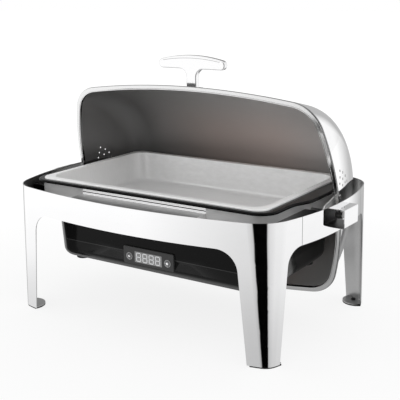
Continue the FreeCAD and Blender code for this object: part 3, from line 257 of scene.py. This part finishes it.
def make_floor():
    """Large pale floor that glows softly; mirrors see it shaded like the studio behind it."""
    mesh = bpy.data.meshes.new("floor")
    half = FLOOR_HALF
    corners = [(-half, -half, 0), (half, -half, 0), (half, half, 0), (-half, half, 0)]
    mesh.from_pydata(corners, [], [(0, 1, 2, 3)])
    floor = bpy.data.objects.new("floor", mesh)
    bpy.context.scene.collection.objects.link(floor)
    material = bpy.data.materials.new("floor_white")
    material.use_nodes = True
    kit = Nodes(material.node_tree)
    place = kit.add("ShaderNodeVectorMath", operation="LENGTH")
    kit.put(place, 0, kit.add("ShaderNodeTexCoord").outputs["Object"])
    away = kit.ramp(place.outputs["Value"], 0.5, 1.5)
    grain = kit.noise(kit.stretched((1, 1, 1)), 3.0)
    diffuse = kit.add("ShaderNodeBsdfDiffuse")
    kit.put(diffuse, "Color", kit.mix(grain, (0.125, 0.125, 0.125, 1), (0.135, 0.135, 0.135, 1)))
    glow = kit.add("ShaderNodeEmission")
    kit.put(glow, "Strength", kit.math("ADD", FLOOR_GLOW, kit.math("MULTIPLY", away, 0.10)))
    lit = kit.add("ShaderNodeAddShader")
    kit.put(lit, 0, diffuse.outputs[0])
    kit.put(lit, 1, glow.outputs[0])
    parts = kit.add("ShaderNodeSeparateXYZ")
    kit.put(parts, 0, kit.add("ShaderNodeNewGeometry").outputs["Incoming"])
    x = kit.math("MULTIPLY", parts.outputs[0], -1.0)
    y = kit.math("MULTIPLY", parts.outputs[1], -1.0)
    near = kit.ramp(place.outputs["Value"], 0.33, 0.80, 0.80, 1.0)
    level = kit.math("MULTIPLY", studio_level(kit, x, y), near)
    mirrored = kit.add("ShaderNodeLightPath").outputs["Is Glossy Ray"]
    extra = kit.add("ShaderNodeEmission")
    over = kit.math("SUBTRACT", level, 1.0, clamp=True)
    kit.put(extra, "Strength", kit.math("MULTIPLY", mirrored, over))
    brighter = kit.add("ShaderNodeAddShader")
    kit.put(brighter, 0, lit.outputs[0])
    kit.put(brighter, 1, extra.outputs[0])
    black = kit.add("ShaderNodeEmission")
    kit.put(black, "Strength", 0.0)
    shaded = kit.add("ShaderNodeMixShader")
    kit.put(shaded, 0, kit.math("MULTIPLY", mirrored, kit.math("SUBTRACT", 1.0, level, clamp=True)))
    kit.put(shaded, 1, brighter.outputs[0])
    kit.put(shaded, 2, black.outputs[0])
    output = kit.add("ShaderNodeOutputMaterial")
    kit.put(output, "Surface", shaded.outputs[0])
    mesh.materials.append(material)


def make_studio():
    make_camera()
    make_world()
    make_floor()
    centre = (0, 0, 0.2)
    make_light("top_light", (0.2, -0.3, 2.4), centre, (2.6, 2.2), 6.0)
    make_light("left_light", (-2.4, -1.4, 1.4), centre, (1.6, 2.0), 4.0)
    settings = bpy.context.scene.view_settings
    settings.view_transform = "Standard"
    settings.look = "None"


# ---------------------------------------------------------------- materials

def principled(name):
    """New material with a principled shader; returns (material, kit, shader)."""
    material = bpy.data.materials.new(name)
    material.use_nodes = True
    kit = Nodes(material.node_tree)
    shader = kit.add("ShaderNodeBsdfPrincipled")
    output = kit.add("ShaderNodeOutputMaterial")
    kit.put(output, "Surface", shader.outputs[0])
    return material, kit, shader


def reopen(material):
    """Helper and principled shader of a material that already has its nodes."""
    kit = Nodes(material.node_tree, clear=False)
    shader = next(node for node in kit.tree.nodes if node.type == "BSDF_PRINCIPLED")
    return kit, shader


def feeding(shader, name):
    """Socket that feeds one of a shader's inputs."""
    return shader.inputs[name].links[0].from_socket


def opaque(color, share=1.0):
    """Opaque colour at a share of its brightness."""
    return tuple(c * share for c in color) + (1,)


def polished(name, color, roughness=0.035, haze=0.02):
    """Mirror-polished stainless steel with faint polishing haze."""
    material, kit, shader = principled(name)
    smear = kit.noise(kit.stretched((3.0, 3.0, 9.0)), 7.0, 4.0)
    fine = kit.noise(kit.stretched((60.0, 60.0, 900.0)), 6.0, 2.0)
    kit.put(shader, "Base Color", kit.mix(smear, opaque(color, 0.975), opaque(color)))
    kit.put(shader, "Metallic", 1.0)
    kit.put(shader, "Roughness", kit.ramp(smear, 0.3, 0.7, roughness, roughness + haze))
    kit.put(shader, "Normal", kit.bump(fine, 0.003, 0.0001))
    return material


def stand_material(color, dull, satin):
    """Polished sheet, satin on its inside, with duller sheared edges and a fine seam at each band end."""
    material = polished("polished_steel", color)
    kit, shader = reopen(material)
    sheet_color = feeding(shader, "Base Color")
    sheet_rough = feeding(shader, "Roughness")
    facing, place = kit.own_axes()
    across_x = kit.math("MULTIPLY", kit.small(facing[1], 0.12), kit.small(place[0], SHEARED_HALF_X))
    across_y = kit.math("MULTIPLY", kit.small(facing[0], 0.12), kit.small(place[1], SHEARED_HALF_Y))
    level = kit.math("MULTIPLY", kit.math("SUBTRACT", 1.0, kit.small(facing[2], 0.60)),
                     kit.math("GREATER_THAN", place[2], BAND_LOW))
    cut = kit.math("MAXIMUM", kit.math("MAXIMUM", across_x, across_y), level)
    outward = kit.math("ADD", kit.math("MULTIPLY", facing[0], place[0]),
                       kit.math("MULTIPLY", facing[1], place[1]))
    inside = kit.math("LESS_THAN", outward, 0.0)
    far = kit.math("SUBTRACT", kit.math("ABSOLUTE", place[1]), SEAM_Y)
    at_end = kit.math("SUBTRACT", 1.0, kit.small(place[0], SEAM_INNER_X))
    seam = kit.math("MULTIPLY", kit.small(far, SEAM_HALF), at_end)
    lines = kit.noise(kit.stretched((30.0, 30.0, 500.0)), 4.0, 3.0)
    inner = kit.mix(lines, opaque(satin, 0.75), opaque(satin))
    tone = kit.mix(inside, sheet_color, inner)
    tone = kit.mix(cut, tone, opaque(dull))
    kit.put(shader, "Base Color", kit.mix(seam, tone, (0.30, 0.30, 0.30, 1)))
    rough = kit.blend(inside, sheet_rough, 0.30)
    kit.put(shader, "Roughness", kit.blend(cut, rough, 0.34))
    return material


def box_material_with_painted_shade(color):
    """Polished hinge box whose inside faces are painted near-black and not metallic: painted shade."""
    material = polished("hinge_box_steel_painted_shade", color)
    kit, shader = reopen(material)
    sheet_color = feeding(shader, "Base Color")
    sheet_rough = feeding(shader, "Roughness")
    facing, place = kit.own_axes()
    across = kit.math("SUBTRACT", kit.math("ABSOLUTE", place[0]), HINGE_BOX_X)
    side = kit.math("MULTIPLY", kit.math("MULTIPLY", facing[0], kit.math("SIGN", place[0])), across)
    rise = kit.math("MULTIPLY", facing[2], kit.math("SUBTRACT", place[2], HINGE_BOX_Z))
    # inside faces get painted shade: near-black, not metallic
    inside = kit.math("LESS_THAN", kit.math("ADD", side, rise), 0.0)
    kit.put(shader, "Base Color", kit.mix(inside, sheet_color, (0.012, 0.012, 0.012, 1)))
    kit.put(shader, "Metallic", kit.math("SUBTRACT", 1.0, inside))
    kit.put(shader, "Roughness", kit.blend(inside, sheet_rough, 0.45))
    return material


def handle_material(color):
    """Polished casting with painted shade on its rounded edges, darker towards the silhouette, and a fine
    groove along the crossbar.
    """
    material = polished("handle_steel", color, 0.10, 0.05)
    kit, shader = reopen(material)
    base = feeding(shader, "Base Color")
    facing, place = kit.own_axes()
    # painted shade: the base colour darkens to grey where the surface turns away from view
    weight = kit.add("ShaderNodeLayerWeight")
    kit.put(weight, "Blend", 0.5)
    edge = kit.ramp(weight.outputs["Facing"], 0.45, 0.80)
    squared = kit.math("MULTIPLY", place[0], place[0])
    arch = kit.math("SUBTRACT", GROOVE_TOP, kit.math("MULTIPLY", squared, GROOVE_BEND))
    off = kit.math("SUBTRACT", place[2], arch)
    groove = kit.math("MULTIPLY", kit.small(off, FINE_LINE_HALF), kit.small(place[0], GROOVE_HALF))
    tone = kit.mix(edge, base, (0.26, 0.26, 0.26, 1))
    kit.put(shader, "Base Color", kit.mix(kit.math("MULTIPLY", groove, 0.6), tone, (0.20, 0.20, 0.20, 1)))
    return material


def enamel_material():
    """Gloss black coating with painted sheen on its rounded corners and lower edge, and a fine painted
    reflection line with a slightly lighter band below it.
    """
    material = plastic("black_enamel", (0.004, 0.004, 0.004), 0.12, 500.0, 0.02, 0.0, 0.09)
    kit, shader = reopen(material)
    base = feeding(shader, "Base Color")
    facing, place = kit.own_axes()
    low = kit.math("LESS_THAN", place[2], CASING_TOP)
    under = kit.math("MULTIPLY", kit.ramp(facing[2], -0.55, -0.08, 1.0, 0.0),
                     kit.math("LESS_THAN", place[2], CASING_EDGE_Z))
    turned = kit.math("MULTIPLY", kit.ramp(kit.math("ABSOLUTE", facing[0]), 0.16, 0.45),
                      kit.math("SUBTRACT", 1.0, kit.small(place[0], CASING_CORNER_X)))
    # painted sheen: the specular level rises on the lower edge and on the rounded corners
    painted_sheen_mask = kit.math("MULTIPLY", low, kit.math("MAXIMUM", under, turned))
    kit.put(shader, "Specular IOR Level", kit.ramp(painted_sheen_mask, 0.0, 1.0, 0.09, 0.62))
    # painted reflection: a fine lighter line at CASING_LINE_Z and a slightly lighter base colour below it
    off = kit.math("SUBTRACT", place[2], CASING_LINE_Z)
    painted_reflection_line = kit.math("MULTIPLY", low, kit.small(off, FINE_LINE_HALF))
    painted_reflection_below = kit.math("MULTIPLY", low, kit.math("LESS_THAN", off, 0.0))
    tone = kit.mix(painted_reflection_below, base, (0.0085, 0.0085, 0.0085, 1))
    kit.put(shader, "Base Color", kit.mix(painted_reflection_line, tone, (0.045, 0.045, 0.045, 1)))
    return material


def carrier_material():
    """Brushed carrier and shelf, with a painted highlight band and a painted dark reflection line above the
    shelf, and painted shade on the shelf top, darker towards the front.
    """
    material = brushed("brushed_steel", (0.92, 0.915, 0.91), 0.34, (8, 8, 900), 0.0, 0.55)
    kit, shader = reopen(material)
    base = feeding(shader, "Base Color")
    facing, place = kit.own_axes()
    ahead = kit.math("LESS_THAN", place[1], CARRIER_FRONT)
    front = kit.math("MULTIPLY", ahead, kit.small(place[0], SHELF_HALF))
    # painted highlight band: near-white base colour with a faint glow
    from_painted_band = kit.math("SUBTRACT", place[2], PAINTED_BAND_Z)
    high = kit.math("MULTIPLY", front, kit.small(from_painted_band, PAINTED_BAND_HALF))
    # painted dark reflection line inside the band
    from_painted_dark_line = kit.math("SUBTRACT", place[2], PAINTED_DARK_LINE_Z)
    dark = kit.math("MULTIPLY", high, kit.small(from_painted_dark_line, PAINTED_DARK_LINE_HALF))
    # painted shade on the shelf top, darker towards the front
    shelf = kit.math("MULTIPLY", front, kit.math("GREATER_THAN", facing[2], 0.7))
    shelf_painted_shade = kit.ramp(place[1], SHELF_FRONT, SHELF_REAR, 0.16, 0.42)
    tone = kit.mix(shelf, base, kit.grey(shelf_painted_shade))
    tone = kit.mix(high, tone, (0.97, 0.97, 0.97, 1))
    kit.put(shader, "Base Color", kit.mix(dark, tone, (0.03, 0.03, 0.03, 1)))
    # the glow on the highlight band is painted light
    kit.put(shader, "Emission Color", (1, 1, 1, 1))
    lit = kit.math("SUBTRACT", high, dark, clamp=True)
    kit.put(shader, "Emission Strength", kit.math("MULTIPLY", lit, 0.35))
    return material


def brushed(name, color, roughness, along, strength=0.12, metallic=1.0):
    """Brushed stainless steel with fine lines; along is the stretch that draws the lines."""
    material, kit, shader = principled(name)
    lines = kit.noise(kit.stretched(along), 5.0, 3.0, 0.6)
    cloud = kit.noise(kit.stretched((4, 4, 4)), 3.0, 3.0)
    highlight = tuple(min(1, c * 1.1) for c in color)
    tone = kit.mix(lines, opaque(color, 0.82), opaque(highlight))
    worn = kit.ramp(cloud, 0.2, 0.8, 0.0, 0.25)
    kit.put(shader, "Base Color", kit.mix(worn, tone, opaque(color, 0.85)))
    kit.put(shader, "Metallic", metallic)
    kit.put(shader, "Roughness", kit.ramp(lines, 0.25, 0.75, roughness - 0.05, roughness + 0.08))
    kit.put(shader, "Normal", kit.bump(lines, strength, 0.0003))
    return material


def plastic(name, color, roughness, grain_scale=900.0, strength=0.05, coat=0.0, sheen=0.5):
    """Moulded plastic, rubber or paint with a fine surface grain; sheen is the specular level."""
    material, kit, shader = principled(name)
    grain = kit.noise(kit.stretched((1, 1, 1)), grain_scale, 2.0)
    cloud = kit.noise(kit.stretched((1, 1, 1)), 14.0, 3.0)
    kit.put(shader, "Base Color", kit.mix(cloud, opaque(color, 0.88), opaque(color)))
    kit.put(shader, "Roughness", kit.ramp(cloud, 0.3, 0.7, roughness - 0.03, roughness + 0.04))
    kit.put(shader, "Normal", kit.bump(grain, strength, 0.0002))
    kit.put(shader, "Coat Weight", coat)
    kit.put(shader, "Coat Roughness", 0.06)
    kit.put(shader, "Specular IOR Level", sheen)
    return material


def vent_shade_rings(kit):
    """1 in a small ring round each steam hole at the right end, where the cover gets painted shade."""
    place = kit.add("ShaderNodeSeparateXYZ")
    kit.put(place, 0, kit.add("ShaderNodeTexCoord").outputs["Object"])
    flat = kit.add("ShaderNodeCombineXYZ")
    kit.put(flat, 1, place.outputs[1])
    kit.put(flat, 2, place.outputs[2])
    found = 0.0
    for (top_y, top_z), rows in zip(VENT_TOPS_RIGHT, VENT_ROWS):
        for row in range(rows):
            away = kit.add("ShaderNodeVectorMath", operation="DISTANCE")
            kit.put(away, 0, flat.outputs[0])
            kit.put(away, 1, (0.0, top_y + row * VENT_ROW_STEP[0], top_z + row * VENT_ROW_STEP[1]))
            near = kit.math("LESS_THAN", away.outputs["Value"], VENT_SHADE_RADIUS)
            found = kit.math("MAXIMUM", near, found)
    return kit.math("MULTIPLY", found, kit.math("GREATER_THAN", place.outputs[0], 0.28))


def cover_material(pivot):
    """Mirror outside and on the rim, satin inside, told apart by facing and by place."""
    material, kit, shader = principled("cover_steel")
    geometry = kit.add("ShaderNodeNewGeometry")
    from_centre = kit.add("ShaderNodeVectorMath", operation="SUBTRACT")
    kit.put(from_centre, 0, geometry.outputs["Position"])
    kit.put(from_centre, 1, pivot)
    facing = kit.add("ShaderNodeVectorMath", operation="DOT_PRODUCT")
    kit.put(facing, 0, geometry.outputs["True Normal"])
    kit.put(facing, 1, from_centre.outputs[0])
    outside = kit.math("GREATER_THAN", facing.outputs["Value"], 0.0)
    place = kit.add("ShaderNodeVectorMath", operation="SUBTRACT")
    kit.put(place, 0, kit.add("ShaderNodeTexCoord").outputs["Object"])
    kit.put(place, 1, pivot)
    depth = kit.add("ShaderNodeVectorMath", operation="DOT_PRODUCT")
    kit.put(depth, 0, place.outputs[0])
    kit.put(depth, 1, (0.0, math.sin(COVER_OPEN), math.cos(COVER_OPEN)))
    rim = kit.math("LESS_THAN", depth.outputs["Value"], COVER_RIM_END)
    rim_face = kit.math("LESS_THAN", depth.outputs["Value"], COVER_RIM_FACE)
    bright = kit.math("MAXIMUM", outside, rim)
    lines = kit.noise(kit.stretched((6.0, 500.0, 500.0)), 3.0, 3.0, 0.6)
    cloud = kit.noise(kit.stretched((4, 4, 4)), 2.0, 3.0)
    parts = kit.add("ShaderNodeSeparateXYZ")
    kit.put(parts, 0, place.outputs[0])
    # painted warm reflection in the middle of the inside, fading towards the ends and upwards
    painted_warm_reflection = kit.math("MULTIPLY", kit.ramp(kit.math("ABSOLUTE", parts.outputs[0]), 0.06, 0.27, 1.0, 0.0),
                    kit.ramp(parts.outputs[2], 0.08, 0.20, 1.0, 0.0))
    cool = kit.mix(lines, (0.53, 0.52, 0.515, 1), (0.60, 0.595, 0.59, 1))
    warm_reflection_tone = kit.mix(lines, (0.66, 0.56, 0.52, 1), (0.74, 0.63, 0.59, 1))
    # painted shade: the inside darkens towards the left end
    across = kit.ramp(parts.outputs[0], -0.31, 0.20, 0.36, 1.0)
    inner = kit.add("ShaderNodeMix", data_type="RGBA", blend_type="MULTIPLY")
    kit.put(inner, 0, 1.0)
    kit.put(inner, 6, kit.mix(painted_warm_reflection, cool, warm_reflection_tone))
    kit.put(inner, 7, kit.grey(across))
    smear = kit.noise(kit.stretched((3.0, 3.0, 9.0)), 7.0, 4.0)
    outer_tone = kit.mix(smear, (0.93, 0.93, 0.935, 1), (0.96, 0.96, 0.965, 1))
    # painted shade on the rim: its outer fillet is dark grey and its face darkens lower down
    rim_painted_shade = kit.ramp(parts.outputs[2], -0.10, 0.02, 0.42, 0.78)
    rim_tone = kit.mix(rim_face, (0.22, 0.22, 0.22, 1), kit.grey(rim_painted_shade))
    outer_tone = kit.mix(rim, outer_tone, rim_tone)
    # painted shade: a dark grey ring round each steam hole
    vent_shade = vent_shade_rings(kit)
    outer_tone = kit.mix(vent_shade, outer_tone, (0.16, 0.16, 0.16, 1))
    kit.put(shader, "Base Color", kit.mix(bright, inner.outputs[2], outer_tone))
    kit.put(shader, "Metallic", kit.blend(bright, 0.50, 1.0))
    inner_rough = kit.ramp(cloud, 0.3, 0.7, 0.40, 0.48)
    kit.put(shader, "Roughness", kit.blend(rim, kit.blend(bright, inner_rough, 0.05), 0.12))
    return material


def make_materials():
    """One material for each of the record's slots."""
    steel = (0.90, 0.90, 0.905)
    pivot = tuple(next(j for j in frame["joints"] if j["name"] == "cover_hinge")["pos_m"])
    return {
        "polished_steel": stand_material(steel, (0.38, 0.38, 0.38), (0.50, 0.50, 0.50)),
        "hinge_box": box_material_with_painted_shade(steel),
        "cover_steel": cover_material(pivot),
        "handle_steel": handle_material(steel),
        "brushed_steel": carrier_material(),
        "pan_steel": brushed("pan_steel", (0.97, 0.97, 0.965), 0.34, (12, 160, 12), 0.0, 0.22),
        "fastener_steel": brushed("fastener_steel", (0.55, 0.55, 0.55), 0.32, (400, 400, 400), 0.05),
        "black_enamel": enamel_material(),
        "rubber": plastic("rubber", (0.018, 0.018, 0.018), 0.72, 1200.0, 0.15),
        "bush_plastic": plastic("bush_plastic", (0.78, 0.76, 0.70), 0.45),
        "panel_grey": plastic("panel_grey", (0.050, 0.050, 0.050), 0.48, 1400.0, 0.10, 0.0, 0.2),
        "window_tint": plastic("window_tint", (0.27, 0.27, 0.27), 0.20, 500.0, 0.0, 0.0, 0.3),
        "display_black": plastic("display_black", (0.012, 0.012, 0.012), 0.30),
        "button_plastic": plastic("button_plastic", (0.16, 0.16, 0.165), 0.42, 1400.0, 0.08),
        "board_green": plastic("board_green", (0.02, 0.12, 0.05), 0.40),
        "switch_black": plastic("switch_black", (0.02, 0.02, 0.02), 0.45),
        "element_steel": brushed("element_steel", (0.30, 0.27, 0.24), 0.42, (300, 300, 300)),
        "shield_aluminium": brushed("shield_aluminium", (0.80, 0.80, 0.80), 0.30, (6, 600, 6)),
        "cutout_metal": brushed("cutout_metal", (0.66, 0.66, 0.64), 0.30, (300, 300, 300)),
        "ceramic": plastic("ceramic", (0.80, 0.78, 0.70), 0.28, 700.0, 0.05, 0.3),
        "wire_insulation": plastic("wire_insulation", (0.60, 0.56, 0.48), 0.55, 2200.0, 0.2),
    }


# ---------------------------------------------------------------- carried-over CAD pieces

def dress_cad(materials):
    """Give every carried-over CAD node its slot's material; the hinge boxes get painted shade on their
    inside faces.
    """
    slots = {item["node"]: item["material_slot"] for item in frame["record"]["subparts"]}
    for name, piece in frame["nodes"].items():
        piece.data.materials.clear()
        look = "hinge_box" if name.startswith("hinge_box") else slots[name]
        piece.data.materials.append(materials[look])


# ---------------------------------------------------------------- pieces drawn only here

PANEL_FACE = -0.1505
DIGIT_PITCH = 0.0155
DIGIT_WIDTH = 0.0100
DIGIT_HEIGHT = 0.0165
DIGIT_STROKE = 0.0019
DIGIT_PROUD = 0.00015
DIGIT_GAP = 0.0002
DIGIT_MIDDLE = 0.1395
BUTTON_X = 0.0465
BUTTON_Z = 0.1385
BUTTON_FACE = -0.1517
SIGN_ARM = 0.0024
SIGN_HALF = 0.0008
SIGN_PROUD = 0.0001
SIGN_SUNK = 0.0003
RING_OUTER = 0.0071
RING_INNER = 0.0063
RING_STEPS = 48
WELD_DISTANCE = 0.000001


def plate(shape, outline, y_front, y_back):
    """Add a thin plate to a mesh from an outline in the front view, wound anticlockwise."""
    front = [shape.verts.new((x, y_front, z)) for x, z in outline]
    back = [shape.verts.new((x, y_back, z)) for x, z in outline]
    shape.faces.new(front)
    shape.faces.new(list(reversed(back)))
    count = len(outline)
    for index in range(count):
        follow = (index + 1) % count
        shape.faces.new((front[index], back[index], back[follow], front[follow]))


def bar(x0, z0, x1, z1, half):
    """Outline of a bar with pointed ends between two points."""
    along = Vector((x1 - x0, z1 - z0)).normalized()
    side = Vector((-along.y, along.x))
    first = Vector((x0, z0))
    last = Vector((x1, z1))
    points = (first, first + (along - side) * half, last - (along + side) * half, last,
              last - (along - side) * half, first + (along + side) * half)
    return [(point.x, point.y) for point in points]


def ring(shape, centre_x, centre_z, outer, inner, y_front, y_back):
    """Add a thin ring as a row of plates."""
    for index in range(RING_STEPS):
        turn = [2 * math.pi * (index + offset) / RING_STEPS for offset in (0, 1)]
        outline = [(centre_x + radius * math.cos(angle), centre_z + radius * math.sin(angle))
                   for radius, angle in ((inner, turn[0]), (outer, turn[0]), (outer, turn[1]),
                                         (inner, turn[1]))]
        plate(shape, outline, y_front, y_back)
    bmesh.ops.remove_doubles(shape, verts=shape.verts, dist=WELD_DISTANCE)


def new_piece(name, shape, material, body):
    """Finish a mesh as a piece of the visual model."""
    bmesh.ops.recalc_face_normals(shape, faces=shape.faces)
    mesh = bpy.data.meshes.new(name)
    shape.to_mesh(mesh)
    shape.free()
    mesh.materials.append(material)
    piece = bpy.data.objects.new(name, mesh)
    bpy.context.scene.collection.objects.link(piece)
    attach(piece, body)


def lit_plastic(name, color, strength):
    """Softly lit diffusing plastic with a slight unevenness."""
    material, kit, shader = principled(name)
    cloud = kit.noise(kit.stretched((1, 1, 1)), 160.0, 3.0)
    kit.put(shader, "Base Color", kit.mix(cloud, opaque(color, 0.9), opaque(color)))
    kit.put(shader, "Roughness", kit.ramp(cloud, 0.3, 0.7, 0.35, 0.50))
    kit.put(shader, "Normal", kit.bump(cloud, 0.05, 0.0001))
    kit.put(shader, "Emission Color", opaque(color))
    kit.put(shader, "Emission Strength", kit.ramp(cloud, 0.2, 0.8, strength * 0.9, strength))
    return material


def make_digits():
    """Four plain seven-segment figures on the display window, all segments lit."""
    shape = bmesh.new()
    half = DIGIT_STROKE / 2
    wide = DIGIT_WIDTH / 2
    tall = DIGIT_HEIGHT / 2
    gap = DIGIT_GAP
    front = PANEL_FACE - DIGIT_PROUD
    for index in range(4):
        x = (index - 1.5) * DIGIT_PITCH
        levels = (-tall, 0.0, tall)
        for level in levels:
            z = DIGIT_MIDDLE + level
            plate(shape, bar(x - wide + gap, z, x + wide - gap, z, half), front, PANEL_FACE)
        for low in (-tall, 0.0):
            z = DIGIT_MIDDLE + low
            for edge in (-wide, wide):
                plate(shape, bar(x + edge, z + gap, x + edge, z + tall - gap, half), front, PANEL_FACE)
    new_piece("display_digits", shape, lit_plastic("digit_light", (0.62, 0.63, 0.64), 0.16),
              "stand")


def make_sign(name, sign_x, plus, body):
    """Minus or plus sign printed on a button's cap."""
    shape = bmesh.new()
    back = BUTTON_FACE + SIGN_SUNK
    front = BUTTON_FACE - SIGN_PROUD
    arm = SIGN_ARM
    half = SIGN_HALF
    outline = [(sign_x - arm, BUTTON_Z - half), (sign_x + arm, BUTTON_Z - half),
               (sign_x + arm, BUTTON_Z + half), (sign_x - arm, BUTTON_Z + half)]
    plate(shape, outline, front, back)
    if plus:
        for low, high in ((-arm, -half), (half, arm)):
            upright = [(sign_x - half, BUTTON_Z + low), (sign_x + half, BUTTON_Z + low),
                       (sign_x + half, BUTTON_Z + high), (sign_x - half, BUTTON_Z + high)]
            plate(shape, upright, front, back)
    # the printed ink is given a faint glow: painted light
    ink_with_painted_glow = lit_plastic(name + "_ink", (0.85, 0.85, 0.85), 0.55)
    new_piece(name, shape, ink_with_painted_glow, body)


def make_button_ring(name, centre_x):
    """Printed ring round a button on the bezel."""
    shape = bmesh.new()
    ring(shape, centre_x, BUTTON_Z, RING_OUTER, RING_INNER, PANEL_FACE - SIGN_PROUD, PANEL_FACE)
    # the printed ink is given a faint glow: painted light
    ink_with_painted_glow = lit_plastic(name + "_ink", (0.50, 0.50, 0.50), 0.10)
    new_piece(name, shape, ink_with_painted_glow, "stand")


make_studio()
palette = make_materials()
dress_cad(palette)
make_digits()
make_sign("minus_sign", -BUTTON_X, False, "minus_key")
make_sign("plus_sign", BUTTON_X, True, "plus_key")
make_button_ring("button_ring_minus", -BUTTON_X)
make_button_ring("button_ring_plus", BUTTON_X)
